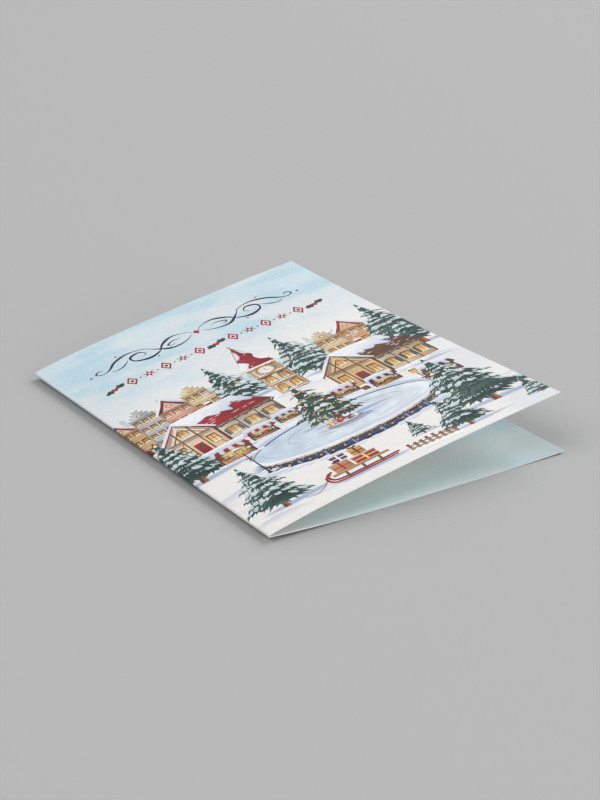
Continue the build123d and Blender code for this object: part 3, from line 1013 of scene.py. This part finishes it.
def dressed_fir(pic, x, y, h, w, seed):
    """Festive fir on a round plinth: boughs, strings of gold lights, red and gold baubles, a gold star."""
    pic = pic.at(x, y, seed)
    pic.ground_shade(2, -2.6, 0.74 * w, 0.2 * w, 1.0, wobble=0, count=22)
    for drop in (2.2, 1.4, 0.7):
        pic.blob(0, -drop, 0.6 * w, 0.19 * w, mix(STONE, SLATE, 0.9 - 0.3 * drop), wobble=0, count=22,
                 pool=0.3)
    pic.blob(0, 0.3, 0.64 * w, 0.2 * w, SNOW, wobble=0.03, count=22, fade=((0, 3), (0, -2), SNOW_SHADE))
    pic.stroke(arc(0, 0.1, 0.63 * w, 0.2 * w, np.linspace(-3.1, -0.04, 12)), [0.1, 0.3, 0.25, 0.3, 0.1],
               SLATE, steps=2)
    fir(pic, 0, 0.6, h, w, seed, snow=0.55, tiers=7, thick=0.9)
    for px, wide, high, tint, band in ((-6.2, 3.0, 2.4, RED, GOLD_PALE), (3.4, 3.4, 2.0, NAVY, PAPER),
                                       (-2.8, 2.4, 3.0, TAN, RED), (1.2, 2.2, 1.8, GOLD, RED_DARK)):
        parcel(pic, px, 0.12 * abs(px) - 1.6, wide, high, tint, band)
    for k in range(5):
        t = 0.16 + 0.16 * k
        half = w * (1 - t) * 0.86
        string = pic.at(0, 0.6 + h * (t + 0.05))
        for place in curve([(-half, 0), (-half * 0.35, -0.055 * h), (half * 0.4, -0.045 * h),
                            (half, 0.02 * h)], 3):
            string.dot(*place, 0.34, GOLD_PALE, 6)
        n = max(2, 5 - k)
        for m in np.linspace(-0.8, 0.8, n) + pic.vary(-0.1, 0.1, n):
            tint = (RED, GOLD, RED, ROSE)[int(pic.rng.integers(4))]
            bauble = string.at(half * m, pic.vary(-0.4, 0.4) - 0.07 * h)
            bauble.blob(0, 0, 0.72, 0.74, tint, wobble=0, count=9, pool=0.35)
            bauble.dot(-0.2, 0.25, 0.2, PAPER, 5)
    pic.at(0, h + 2.0).shape(star(5, np.pi / 2, 2.0, 0.85), GOLD, pool=0.25)


def lights(pic, a, b):
    """String of warm lights: a thin wire that sags between its holders, with a glowing bulb at each step."""
    wire = hanging(a, b, 4.5, 8)
    pic.stroke(wire, 0.16, TIMBER_DARK, steps=1)
    for px, py in wire - (0, 0.5):
        pic.dot(px, py, 0.95, GOLD_PALE, 7, cover=0.5, soft=0.85)
        pic.blob(px, py, 0.36, 0.42, GOLD, wobble=0, count=6)


def tracks(pic, points, gap):
    """Two runners' tracks side by side in the snow."""
    for m in (-0.5, 0.5):
        pic.stroke(lifted(curve(points), m * gap), [0.1, 0.5, 0.5, 0.1], SNOW_DEEP, steps=1, cover=0.55,
                   glaze=True)


def paint(pic):
    """Winter village round an ice rink, laid down from the far hills to the near snow."""
    hill(pic, [(-130, 104), (-96, 110), (-60, 103), (-24, 108), (0, 103), (12, 107), (34, 104), (52, 109),
               (78, 105), (98, 111), (126, 105)], ink(216, 228, 236), 80, CLOUD)
    for k in range(60):
        px = -126 + 4.2 * k + pic.vary(-1.6, 1.6)
        distant_fir(pic, px, 97 + 3 * np.sin(px / 11) + pic.vary(-1.5, 1.5), pic.vary(8, 17))
    hill(pic, [(-130, 94), (-90, 90), (-40, 95), (-6, 92), (18, 96), (44, 92), (70, 96), (100, 93),
               (126, 97)],
         ink(226, 232, 238), 76, SNOW)
    for k in range(170):
        px, py = pic.vary(-30, 119), pic.vary(100, 179)
        pic.blob(px, py, *pic.vary(0.2, 0.5, 2), SNOW, count=6)
    flourish(pic, 59, 153, 1.05)
    ornament_row(pic, 14, 104, 137, 13, 31)
    fir(pic, 44, 85, 38, 12, 6, tiers=7, thick=0.85)
    fir(pic, 75, 83, 42, 13, 5, thick=0.85)
    town_house(pic, -6, 80, 11, 23, 9, ink(222, 180, 128), RED, 40)
    town_house(pic, 5, 81, 10, 27, 7.5, ink(196, 208, 214), TIMBER, 41, steps=True)
    town_house(pic, 15, 82, 12, 22, 10, ink(226, 170, 160), RED_DARK, 42)
    town_house(pic, 27, 83, 10, 25, 7, ink(236, 214, 172), TIMBER, 43, steps=True)
    town_house(pic, 84, 82, 11, 24, 8, ink(238, 218, 186), TIMBER, 44, steps=True)
    town_house(pic, 95, 81, 12, 26, 10, ink(218, 168, 120), RED, 45)
    fir(pic, 114, 74, 50, 17, 8, tiers=9, thick=0.9)
    tower(pic, 54, 78, 12, 28, 22, 3)
    lights(pic, (31, 105), (54, 107))
    lights(pic, (66, 107), (90, 104))
    cottage(pic, 4, 63, 20, 25, 16, 14, 12)
    cottage(pic, 72, 60, 20, 21, 18, 14, 14, plaster=ink(236, 208, 160), tile=TIMBER, tile_dark=TIMBER_DARK)
    snow_foot(pic, [(3, 62.5), (14, 62), (24, 62.3), (38, 64), (50, 65.5)], 1.5)
    snow_foot(pic, [(71, 59.6), (82, 59), (92, 59.3), (104, 61), (114, 62.5)], 1.5)
    snow_foot(pic, [(53, 77.6), (60, 77), (67, 77.6)], 1.2)
    bank(pic, [(-8, 60), (16, 58.5), (40, 60.5), (62, 62), (90, 57.5), (122, 59)], 5)
    stall(pic, 29, 56.5, 10, 7.0, 63)
    stall(pic, 42, 59.5, 8.5, 6.2, 64, PINE)
    stall(pic, 65.5, 58.5, 9.5, 6.6, 65)
    stall(pic, 80, 54.5, 10.5, 7.4, 66, NAVY)
    for barrel_at in ((53.2, 60.5, 2.2, 67), (76.8, 56.6, 2.2, 68), (25.4, 55.2, 2.4, 69)):
        barrel(pic, *barrel_at)
    fir(pic, 3, 48, 40, 14, 9, thick=0.9)
    rink(pic, 58, 43, 38, 11.5, 20)
    dressed_fir(pic, 58, 44, 38, 12.5, 60)
    stall(pic, 13, 50.5, 13, 9.5, 61)
    stall(pic, 97, 44, 13, 9.5, 62, NAVY)
    lamp_post(pic, 96, 33, 25, 22)
    lamp_post(pic, 21, 33, 24, 23)
    bank(pic, [(-8, 30), (14, 33), (34, 27), (52, 24)], 6)
    bank(pic, [(70, 25), (88, 30), (106, 26), (126, 31)], 6)
    tracks(pic, [(-4, 21), (10, 17), (26, 10.5), (34, 9.4)], 1.5)
    bank(pic, [(18, 10), (44, 6), (76, 9), (104, 4)], 5)
    bank(pic, [(-6, 6), (10, 8), (30, 2)], 4)
    fir(pic, 13.5, 10, 36, 12.5, 28, thick=0.9)
    fir(pic, 103, 14, 48, 18, 24, tiers=9)
    fir(pic, 86, 5, 27, 10.5, 25, tiers=7, thick=0.85)
    fir(pic, 71.5, 12.5, 13, 5.2, 70, tiers=5, thick=0.8)
    fir(pic, 117, 6, 16, 6, 71, tiers=5, thick=0.8)
    sledge(pic, 33, 8, 1.22, 26)
    fence(pic, 62, 4.5, 80, 3.5, 8, 6.0, 27)


pic = Picture(np.random.default_rng(7))
paint(pic)


# Millimetres on the flat sheet
PIGMENT_RIM = 0.25  # how far from its outline a pool of pigment reaches
PRINTED_STEP, BARE_STEP = 1.5, 3.0  # between loose points on the printed cover, and elsewhere
GRID_SHAKE = 0.3  # how far a loose point is shaken off its grid, as a share of that step
FOLD_GAP = 0.3  # how far loose points keep from the fold
EDGE_STEP = 2.0  # between corners along the sheet's edge
CORNERS_MEET = 1e-5  # corners closer than this become one


def edge_distance(points, outline):
    """Distance of each point from the nearest side of a closed outline."""
    a, b = outline, np.roll(outline, -1, 0)
    d = b - a
    t = np.einsum("nij,ij->ni", points[:, None] - a, d) / np.maximum((d * d).sum(1), 1e-12)
    near = a + d * np.clip(t, 0, 1)[..., None]
    return np.linalg.norm(points[:, None] - near, axis=-1).min(1)


def grid_points(left, right, step, rng):
    """Loose points over a stretch of the sheet, shaken off their grid so that no rows show."""
    nx, ny = round((right - left) / step), round(PAGE_H / step)
    gx = left + (np.arange(nx) + 0.5) * (right - left) / nx
    gy = (np.arange(ny) + 0.5) * PAGE_H / ny
    p = np.stack(np.meshgrid(gx, gy), -1).reshape(-1, 2)
    return p + rng.uniform(-GRID_SHAKE, GRID_SHAKE, p.shape) * step


def loose_points(cover_step, rng):
    """Loose points over both leaves. The cover's are cover_step apart."""
    cover = grid_points(FOLD_GAP, LEAF_W, cover_step, rng)
    return np.vstack([cover, grid_points(SHEET_LEFT, 2 * CROWN - FOLD_GAP, BARE_STEP, rng)])


def ring_sides(rings):
    """Corners of closed rings in one list, and their sides as pairs of numbers in it."""
    sides = []
    count = 0
    for ring in rings:
        k = np.arange(len(ring))
        sides.append(np.stack([k, np.roll(k, -1)], 1) + count)
        count += len(ring)
    return np.vstack(rings), np.vstack(sides)


def divide(points, sides, loose):
    """Cuts the sheet into triangles along the sides and the fold's lines, using the loose points as corners.
    Returns the corners, the triangles, and for each corner the numbers of the given points it came from."""
    folds = np.arange(2 * len(FOLD_LINES)).reshape(-1, 2) + len(points)
    flat = [Vector(p) for p in np.vstack([points] + FOLD_LINES + [loose]).tolist()]
    sides = np.vstack([sides, folds]).tolist()
    verts, _, tris, origins, _, _ = delaunay_2d_cdt(flat, sides, [], 0, CORNERS_MEET, True)
    return np.array([tuple(v) for v in verts]), np.array(tris), origins


def within(points, outline):
    """Which points a closed outline goes round, also where it crosses itself. Sides that pass to the right
    of a point on their way up count one, and on their way down minus one."""
    a, b = outline, np.roll(outline, -1, 0)
    x, y = points[:, :1], points[:, 1:]
    side = (b[:, 0] - a[:, 0]) * (y - a[:, 1]) - (x - a[:, 0]) * (b[:, 1] - a[:, 1])
    rising = (a[:, 1] <= y) & (b[:, 1] > y) & (side > 0)
    falling = (a[:, 1] > y) & (b[:, 1] <= y) & (side < 0)
    return rising.sum(1) != falling.sum(1)


def sheet_edge():
    """Corners of the sheet's edge, once round, close enough along each leaf that it can curl."""
    leaf = np.linspace(0, 1, round(LEAF_W / EDGE_STEP) + 1)
    foot = np.concatenate([SHEET_LEFT + leaf * LEAF_W, leaf * LEAF_W])
    side = np.linspace(0, PAGE_H, round(PAGE_H / EDGE_STEP) + 1)[1:-1]
    right, left = np.full(len(side), LEAF_W), np.full(len(side), SHEET_LEFT)
    x = np.concatenate([foot, right, foot[::-1], left])
    y = np.concatenate([0 * foot, side, 0 * foot + PAGE_H, side[::-1]])
    return np.stack([x, y], 1)


SHEET_EDGE = sheet_edge()
FOLD_LINES = [np.array([(x, 0), (x, PAGE_H)]) for x in CROWN + np.linspace(CROWN, -CROWN, 17)]


def border_order(points):
    """Numbers of the points on the sheet's edge, once round from its lower left corner."""
    x, y = points[:, 0], points[:, 1]
    w = LEAF_W - SHEET_LEFT
    e = 10 * CORNERS_MEET
    place = np.full(len(points), np.nan)
    place = np.where(np.abs(x - SHEET_LEFT) < e, 2 * (w + PAGE_H) - y, place)
    place = np.where(np.abs(y - PAGE_H) < e, w + PAGE_H + LEAF_W - x, place)
    place = np.where(np.abs(x - LEAF_W) < e, w + y, place)
    place = np.where(np.abs(y) < e, x - SHEET_LEFT, place)
    on = np.flatnonzero(~np.isnan(place))
    return on[np.argsort(place[on])]


def composite(pic, corners):
    """Colour at each triangle's corners: the backdrop, then every shape over it in the order of painting.
    A body colour covers what is under it and a glaze multiplies it."""
    x, y = corners[..., 0], corners[..., 1]
    colour = backdrop(x, y)
    washes = [billow(x, y, 4.0, 61) - 0.5, billow(x + 40, y, 1.9, 67) - 0.5, 0.5 - billow(x, y + 70, 7.0, 71)]
    middle = corners.mean(1)
    by_height = np.argsort(middle[:, 1])
    heights = middle[by_height, 1]
    for k, s in enumerate(pic.shapes):
        lowest, highest = s["outline"].min(0), s["outline"].max(0)
        f = by_height[np.searchsorted(heights, lowest[1]):np.searchsorted(heights, highest[1])]
        f = f[(middle[f, 0] > lowest[0]) & (middle[f, 0] < highest[0])]
        f = f[within(middle[f], s["outline"])]
        if not len(f):
            continue
        at = corners[f]
        tint = np.broadcast_to(s["tint"], at.shape[:2] + (3,))
        if s["fade"]:
            a, b, second = s["fade"]
            tint = mix(tint, second, np.clip(((at - a) @ (b - a)) / ((b - a) @ (b - a)), 0, 1))
        alpha = np.full(at.shape[:2], float(s["cover"]))
        if s["soft"] or s["pool"]:
            rim = edge_distance(at.reshape(-1, 2), s["outline"]).reshape(at.shape[:2])
            if s["soft"]:
                alpha = alpha * ease(0, s["soft"], rim)
            if s["pool"]:
                tint = tint * (1 - s["pool"] * np.exp(-rim / PIGMENT_RIM))[..., None]
        if s["glaze"]:
            colour[f] *= 1 - alpha[..., None] * (1 - tint)
        else:
            tint = tint * (1 + s["wash"] * washes[k % 3][f])[..., None]
            colour[f] += alpha[..., None] * (tint - colour[f])
    return np.clip(colour, 0, 1)


def on_the_sheet(verts, tris):
    """Triangles within the sheet's edge."""
    x, y = verts[tris].mean(1).T
    return tris[(x > SHEET_LEFT) & (x < LEAF_W) & (y > 0) & (y < PAGE_H)]


def seen_sides(pic, points, sides, owner):
    """Sides that show: one goes when a body colour laid down later hides both its ends and its middle."""
    a, b = points[sides[:, 0]], points[sides[:, 1]]
    seen = np.ones(len(sides), bool)
    for k, s in enumerate(pic.shapes):
        if s["cover"] < 1 or s["glaze"] or s["soft"]:
            continue
        low, high = s["outline"].min(0), s["outline"].max(0)
        near = seen & (owner < k) & (np.minimum(a, b) > low).all(1) & (np.maximum(a, b) < high).all(1)
        under = np.flatnonzero(near)
        for p in (a, b, (a + b) / 2):
            under = under[within(p[under], s["outline"])]
        seen[under] = False
    return sides[seen]


def outer_face(pic, rng):
    """Outside of the sheet, cut up along the painted shapes, with its colour at each triangle's corners."""
    rings = [s["outline"] for s in pic.shapes] + [ring for _, ring in pic.guides]
    painted_by = list(range(len(pic.shapes))) + [k for k, _ in pic.guides]
    points, sides = ring_sides(rings)
    sides = seen_sides(pic, points, sides, np.repeat(painted_by, [len(ring) for ring in rings]))
    used, sides = np.unique(sides, return_inverse=True)
    edge, edge_sides = ring_sides([SHEET_EDGE])
    points = np.vstack([edge, points[used]])
    sides = np.vstack([edge_sides, sides.reshape(-1, 2) + len(edge)])
    verts, tris, _ = divide(points, sides, loose_points(PRINTED_STEP, rng))
    used, tris = np.unique(on_the_sheet(verts, tris), return_inverse=True)
    verts, tris = verts[used], tris.reshape(-1, 3)
    return verts, tris, composite(pic, verts[tris])


def inside_wash_and_fold_light(x, y):
    """Print inside the card: bare paper by the fold, then long cool and warm streaks, drifting in soft clouds
    to a pale blue-green at the fore edges. The bare paper by the fold is partly painted light: it makes the
    inside lighter there, as light falling by the fold would."""
    away = np.abs(x - CROWN) + 30 * (billow(x, y * 0.6, 30, 83) - 0.5)
    sea = mix(WASH_BLUE, WASH_GREEN, ease(0.35, 0.65, billow(x * 0.6, y, 20, 87)))
    streak = 0.5 - 0.5 * np.cos(2 * np.pi * (y + 0.08 * x + 16 * (billow(x * 0.5, y, 24, 91) - 0.5)) / 34)
    # The fade to bare paper by the fold is partly painted light: a lighter strip where light falls by the fold.
    base = mix(PAPER, mix(WASH_COOL, WASH_WARM, streak), ease(6, 28, np.abs(x - CROWN)))
    tone = 1 + 0.10 * (billow(x * 0.6, y * 1.2, 7, 97) - 0.5)
    return mix(base, sea, ease(48, 124, away)) * tone[..., None]


def inner_face(border, rng):
    """Inside of the sheet, cut up loosely, with the outside's own points round its edge. Also returns the
    number that each of those points has there."""
    verts, tris, origins = divide(*ring_sides([border]), loose_points(BARE_STEP, rng))
    to = np.zeros(len(border), int)
    for k, came in enumerate(origins):
        for c in came:
            if c < len(border):
                to[c] = k
    return verts, on_the_sheet(verts, tris), to


# Square that a pattern is baked to: the cover's patch at the left, a column of patches at the right, and the
# bands of the cut edge near its top. Scales are per millimetre.
COVER_PATCH, COVER_SCALE = (0.006, 0.01), 0.00544
COLUMN_LEFT, COLUMN_WIDE = 0.676, 0.316
INSIDE_PATCH, INSIDE_SCALE = 0.492, 0.00176
BAND_HEIGHTS = (0.964, 0.957, 0.948)


def bake_map(flat, part):
    """Place of each corner on the square that a pattern is baked to. The cover takes two thirds of the width
    at full height, and the back, the inside and the cut edges share the rest."""
    x, y = flat[..., 0], flat[..., 1]
    scale = COLUMN_WIDE / (LEAF_W - CROWN)
    cover = np.stack([COVER_PATCH[0] + (x - CROWN) * COVER_SCALE, COVER_PATCH[1] + y * COVER_SCALE], -1)
    back = np.stack([COLUMN_LEFT + (x - SHEET_LEFT) * scale, COVER_PATCH[1] + y * scale], -1)
    inside = np.stack([COLUMN_LEFT + y * COLUMN_WIDE / PAGE_H,
                       INSIDE_PATCH + (x - SHEET_LEFT) * INSIDE_SCALE], -1)
    return np.select([(part == k)[..., None] for k in range(3)], [cover, back, inside])


def rolled_in(place, low, high):
    """Place along one direction once the knife has drawn the rim of the outer face in by CUT_ROLL. The pull is
    CUT_ROLL at the edge and fades evenly to nothing at four times that distance from it."""
    pull = [CUT_ROLL * np.clip(1 - away / (4 * CUT_ROLL), 0, 1) for away in (place - low, high - place)]
    return place + pull[0] - pull[1]


def cut_band(upper, lower, high, low):
    """Band of triangles between two rings of corners, with their places on the bake map, where the band runs
    across from one side to the other between the heights low and high."""
    k = np.arange(len(upper) + 1)
    across = COLUMN_LEFT + COLUMN_WIDE * k / len(upper)
    here, there = across[:-1], across[1:]
    upper_next, lower_next = np.roll(upper, -1), np.roll(lower, -1)
    tris = np.vstack([np.stack([upper_next, upper, lower], 1), np.stack([upper_next, lower, lower_next], 1)])
    across = np.vstack([np.stack([there, here, here], 1), np.stack([there, here, there], 1)])
    height = np.repeat([[high, high, low], [high, low, low]], len(upper), 0)
    whole = tris[:, 1] != tris[:, 2]
    return tris[whole], np.stack([across, height], -1)[whole]


def card_mesh(pic):
    """The whole sheet as one closed skin: the printed outside, the tinted inside and the cut edge between them,
    whose outer corner is rolled as a knife leaves it."""
    rng = np.random.default_rng(90)
    outer, outer_tris, colour = outer_face(pic, rng)
    ring = border_order(outer)
    rim = outer[ring]
    inner, inner_tris, to = inner_face(rim, rng)
    n = len(outer)
    rolled = on_sheet(rolled_in(outer[:, 0], SHEET_LEFT, LEAF_W), rolled_in(outer[:, 1], 0, PAGE_H))
    points = np.vstack([rolled, on_sheet(*inner.T, BOARD), on_sheet(*rim.T, CUT_ROLL)]) * MM
    flat = np.vstack([outer, inner, rim])
    lip = n + len(inner) + np.arange(len(ring))
    roll_tris, roll_at = cut_band(ring, lip, *BAND_HEIGHTS[:2])
    wall_tris, wall_at = cut_band(lip, n + to, *BAND_HEIGHTS[1:])
    tris = np.vstack([outer_tris, inner_tris[:, ::-1] + n, roll_tris, wall_tris])
    # what each triangle belongs to: 0 the cover's outside, 1 the back's, 2 the inside, 3 the cut edge
    part = np.repeat((1, 2, 3), (len(outer_tris), len(inner_tris), len(roll_tris) + len(wall_tris)))
    part[:len(outer_tris)][outer[outer_tris].mean(1)[:, 0] > CROWN] = 0
    printed, tinted, cut = part < 2, part == 2, part == 3

    mesh = bpy.data.meshes.new("card_sheet")
    mesh.vertices.add(len(points))
    mesh.vertices.foreach_set("co", points.ravel())
    mesh.loops.add(tris.size)
    mesh.loops.foreach_set("vertex_index", tris.ravel().astype(np.int32))
    mesh.polygons.add(len(tris))
    mesh.polygons.foreach_set("loop_start", np.arange(0, tris.size, 3, dtype=np.int32))
    mesh.polygons.foreach_set("material_index", cut.astype(np.int32))
    mesh.update(calc_edges=True)

    at = flat[tris]
    normal = np.zeros(tris.shape + (3,))
    for mask, depth in ((printed, 0.0), (tinted, BOARD)):
        normal[mask] = facing(at[mask, :, 0], at[mask, :, 1], depth)
    a, b, c = np.moveaxis(points[tris[cut]], 1, 0)
    side = np.cross(b - a, c - a)
    normal[cut] = (side / np.maximum(np.linalg.norm(side, axis=1), 1e-15)[:, None])[:, None]
    mesh.polygons.foreach_set("use_smooth", np.ones(len(tris), bool))
    mesh.normals_split_custom_set(normal.reshape(-1, 3))

    full = np.ones(tris.shape + (4,))
    full[printed, :, :3] = colour
    full[tinted, :, :3] = inside_wash_and_fold_light(at[tinted, :, 0], at[tinted, :, 1])
    layer = mesh.color_attributes.new("print", "FLOAT_COLOR", "CORNER")
    layer.data.foreach_set("color", full.ravel())
    spread = bake_map(at, np.repeat(part[:, None], 3, 1))
    spread[cut] = np.vstack([roll_at, wall_at])
    mesh.uv_layers.new(name="OFBake").data.foreach_set("uv", spread.ravel())
    return mesh


def node(tree, kind, inputs=(), **settings):
    """Adds a node, sets what it is told and returns it. Its inputs are fed by name or number, each from another
    node's output or with a plain value."""
    made = tree.nodes.new(kind)
    for name, value in settings.items():
        setattr(made, name, value)
    for name, value in dict(inputs).items():
        if isinstance(value, bpy.types.NodeSocket):
            tree.links.new(value, made.inputs[name])
        else:
            made.inputs[name].default_value = value
    return made


def maths(tree, operation, a, b):
    """Result of a sum, a product or the larger of two values."""
    return node(tree, "ShaderNodeMath", {0: a, 1: b}, operation=operation).outputs[0]


def fibre_noise(tree, where, scale, detail, roughness):
    """Cloudy noise of settled fibres, from about 0.3 to 0.7, with scale cells to the metre."""
    inputs = {"Vector": where, "Scale": scale, "Detail": detail, "Roughness": roughness}
    return node(tree, "ShaderNodeTexNoise", inputs).outputs["Fac"]


def remap(tree, value, low, high, to_low, to_high):
    """Value carried evenly from the range low to high to the range to_low to to_high, held at its ends."""
    return node(tree, "ShaderNodeMapRange", {0: value, 1: low, 2: high, 3: to_low, 4: to_high}).outputs[0]


def blend_colours(tree, factor, a, b, how="MIX"):
    """Second colour laid over the first by the factor, in the way that how names."""
    made = node(tree, "ShaderNodeMix", {"Factor": factor, 6: a, 7: b}, data_type="RGBA", blend_type=how)
    return made.outputs[2]


def board_material(name, gloss, tooth):
    """Coated board: a satin skin over paper whose fibres show as a faint tooth. gloss is its roughness and
    tooth the height of that relief in millimetres."""
    mat = bpy.data.materials.new(name)
    mat.use_nodes = True
    tree = mat.node_tree
    shader = tree.nodes["Principled BSDF"]
    shader.inputs["Roughness"].default_value = gloss
    shader.inputs["IOR"].default_value = 1.45
    place = node(tree, "ShaderNodeTexCoord").outputs["Object"]
    fine, cloud = fibre_noise(tree, place, 5200.0, 4.0, 0.6), fibre_noise(tree, place, 700.0, 3.0, 0.5)
    relief = maths(tree, "ADD", fine, maths(tree, "MULTIPLY", cloud, 1.6))
    bump = node(tree, "ShaderNodeBump", {"Height": relief, "Strength": 1.0, "Distance": tooth * MM})
    tree.links.new(bump.outputs["Normal"], shader.inputs["Normal"])
    return mat, tree, shader, place


def printed_board():
    """Printed faces: the painted shapes' own colours, broken up as pigment settles in paper."""
    mat, tree, shader, place = board_material("printed_board", 0.42, 0.004)
    ink_colour = node(tree, "ShaderNodeVertexColor", layer_name="print").outputs["Color"]
    settle = remap(tree, fibre_noise(tree, place, 520.0, 5.0, 0.62), 0.30, 0.72, 0.975, 1.02)
    speck = remap(tree, fibre_noise(tree, place, 2600.0, 3.0, 0.6), 0.30, 0.75, 0.975, 1.02)
    grain = maths(tree, "MULTIPLY", settle, speck)
    grain_colour = node(tree, "ShaderNodeCombineColor", {0: grain, 1: grain, 2: grain}).outputs[0]
    base = blend_colours(tree, 1.0, ink_colour, grain_colour, "MULTIPLY")
    tree.links.new(base, shader.inputs["Base Color"])
    return mat


def cut_fibre():
    """Cut edge of the board: matt white fibre with fine dark lines of pulp along it."""
    mat, tree, shader, place = board_material("cut_fibre", 0.8, 0.012)
    pulp = remap(tree, fibre_noise(tree, place, 9000.0, 4.0, 0.65), 0.3, 0.75, 0.0, 1.0)
    base = blend_colours(tree, pulp, (*ink(226, 229, 230), 1), (*ink(246, 247, 247), 1))
    tree.links.new(base, shader.inputs["Base Color"])
    return mat


card = bpy.data.objects.new("card_sheet", card_mesh(pic))
scene.collection.objects.link(card)
for finish in (printed_board(), cut_fibre()):
    card.data.materials.append(finish)
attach(card, "root")
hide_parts("folded_card")


TABLE_TONE = 0.465
TABLE_HALF = 6.0
ROOM_LIGHT = 0.29
ROOM_GREY = ink(184, 184, 184)
LAMPS_AWAY = 8.0
# name, side it stands at and height in degrees, size, and what it gives a surface that faces it
LAMPS = (("right", 108, 34, 6, 0.76), ("left", -75, 52, 5.6, 0.4), ("front", 18, 17, 5.3, 0.43))

# The photograph's camera: angles in degrees, lengths in millimetres
VIEW_TURN, VIEW_LIFT, VIEW_ROLL = -30.31, 22.18, -2.67
VIEW_LENS = 97.75
VIEW_TARGET = (8.28, 2.96, 2.65)
VIEW_AWAY = 809.5


def table():
    """Seamless grey paper under the card, wide enough that its far edge is out of sight."""
    mesh = bpy.data.meshes.new("table")
    r = TABLE_HALF
    mesh.from_pydata([(-r, -r, 0), (r, -r, 0), (r, r, 0), (-r, r, 0)], [], [(0, 1, 2, 3)])
    made = bpy.data.objects.new("table", mesh)
    scene.collection.objects.link(made)
    mat = bpy.data.materials.new("table_paper")
    mat.use_nodes = True
    shader = mat.node_tree.nodes["Principled BSDF"]
    shader.inputs["Base Color"].default_value = (TABLE_TONE, TABLE_TONE, TABLE_TONE, 1)
    shader.inputs["Roughness"].default_value = 0.9
    shader.inputs["Specular IOR Level"].default_value = 0.15
    mesh.materials.append(mat)


def room():
    """Even light from all round, grey like the table where the camera or a reflection meets it."""
    world = bpy.data.worlds.new("room")
    world.use_nodes = True
    scene.world = world
    tree = world.node_tree
    tree.nodes.clear()
    rays = node(tree, "ShaderNodeLightPath").outputs
    seen = maths(tree, "MAXIMUM", rays["Is Camera Ray"], rays["Is Glossy Ray"])
    seen = maths(tree, "MAXIMUM", seen, rays["Is Transmission Ray"])
    light = node(tree, "ShaderNodeBackground", {"Color": (1, 1, 1, 1), "Strength": ROOM_LIGHT})
    grey = node(tree, "ShaderNodeBackground", {"Color": (*ROOM_GREY, 1), "Strength": 1.0})
    both = node(tree, "ShaderNodeMixShader", {0: seen, 1: light.outputs[0], 2: grey.outputs[0]})
    node(tree, "ShaderNodeOutputWorld", {"Surface": both.outputs[0]})


def direction(turn, lift):
    """Unit vector from the card to the side turn, at the height lift, both in degrees. The foot is at 0."""
    t, e = math.radians(turn), math.radians(lift)
    return Vector((math.sin(t) * math.cos(e), -math.cos(t) * math.cos(e), math.sin(e)))


def softbox(name, turn, lift, size, light):
    """Large square lamp that faces the card from the side turn, at the height lift, both in degrees.
    light is what it gives a surface that faces it, where 1 shows a colour as it is written."""
    toward = direction(turn, lift)
    lamp = bpy.data.lights.new(name, "AREA")
    lamp.shape = "SQUARE"
    lamp.size = size
    lamp.energy = light * math.pi**2 * LAMPS_AWAY**2
    made = bpy.data.objects.new(name, lamp)
    made.location = toward * LAMPS_AWAY
    made.rotation_euler = toward.to_track_quat("Z", "Y").to_euler()
    scene.collection.objects.link(made)


def camera():
    """The photograph's view: a long lens from the front left, a little rolled."""
    back = direction(VIEW_TURN, VIEW_LIFT)
    roll = math.radians(VIEW_ROLL)
    right = Vector((0, 0, 1)).cross(back).normalized()
    up = back.cross(right)
    right, up = right * math.cos(roll) + up * math.sin(roll), up * math.cos(roll) - right * math.sin(roll)
    eye = bpy.data.cameras.new("eye")
    eye.lens = VIEW_LENS
    eye.sensor_width = 36.0
    eye.clip_start = 0.01
    made = bpy.data.objects.new("eye", eye)
    made.matrix_world = Matrix((right, up, back)).transposed().to_4x4()
    made.location = Vector(VIEW_TARGET) * MM + back * VIEW_AWAY * MM
    scene.collection.objects.link(made)
    scene.camera = made


table()
room()
for lamp in LAMPS:
    softbox(*lamp)
camera()
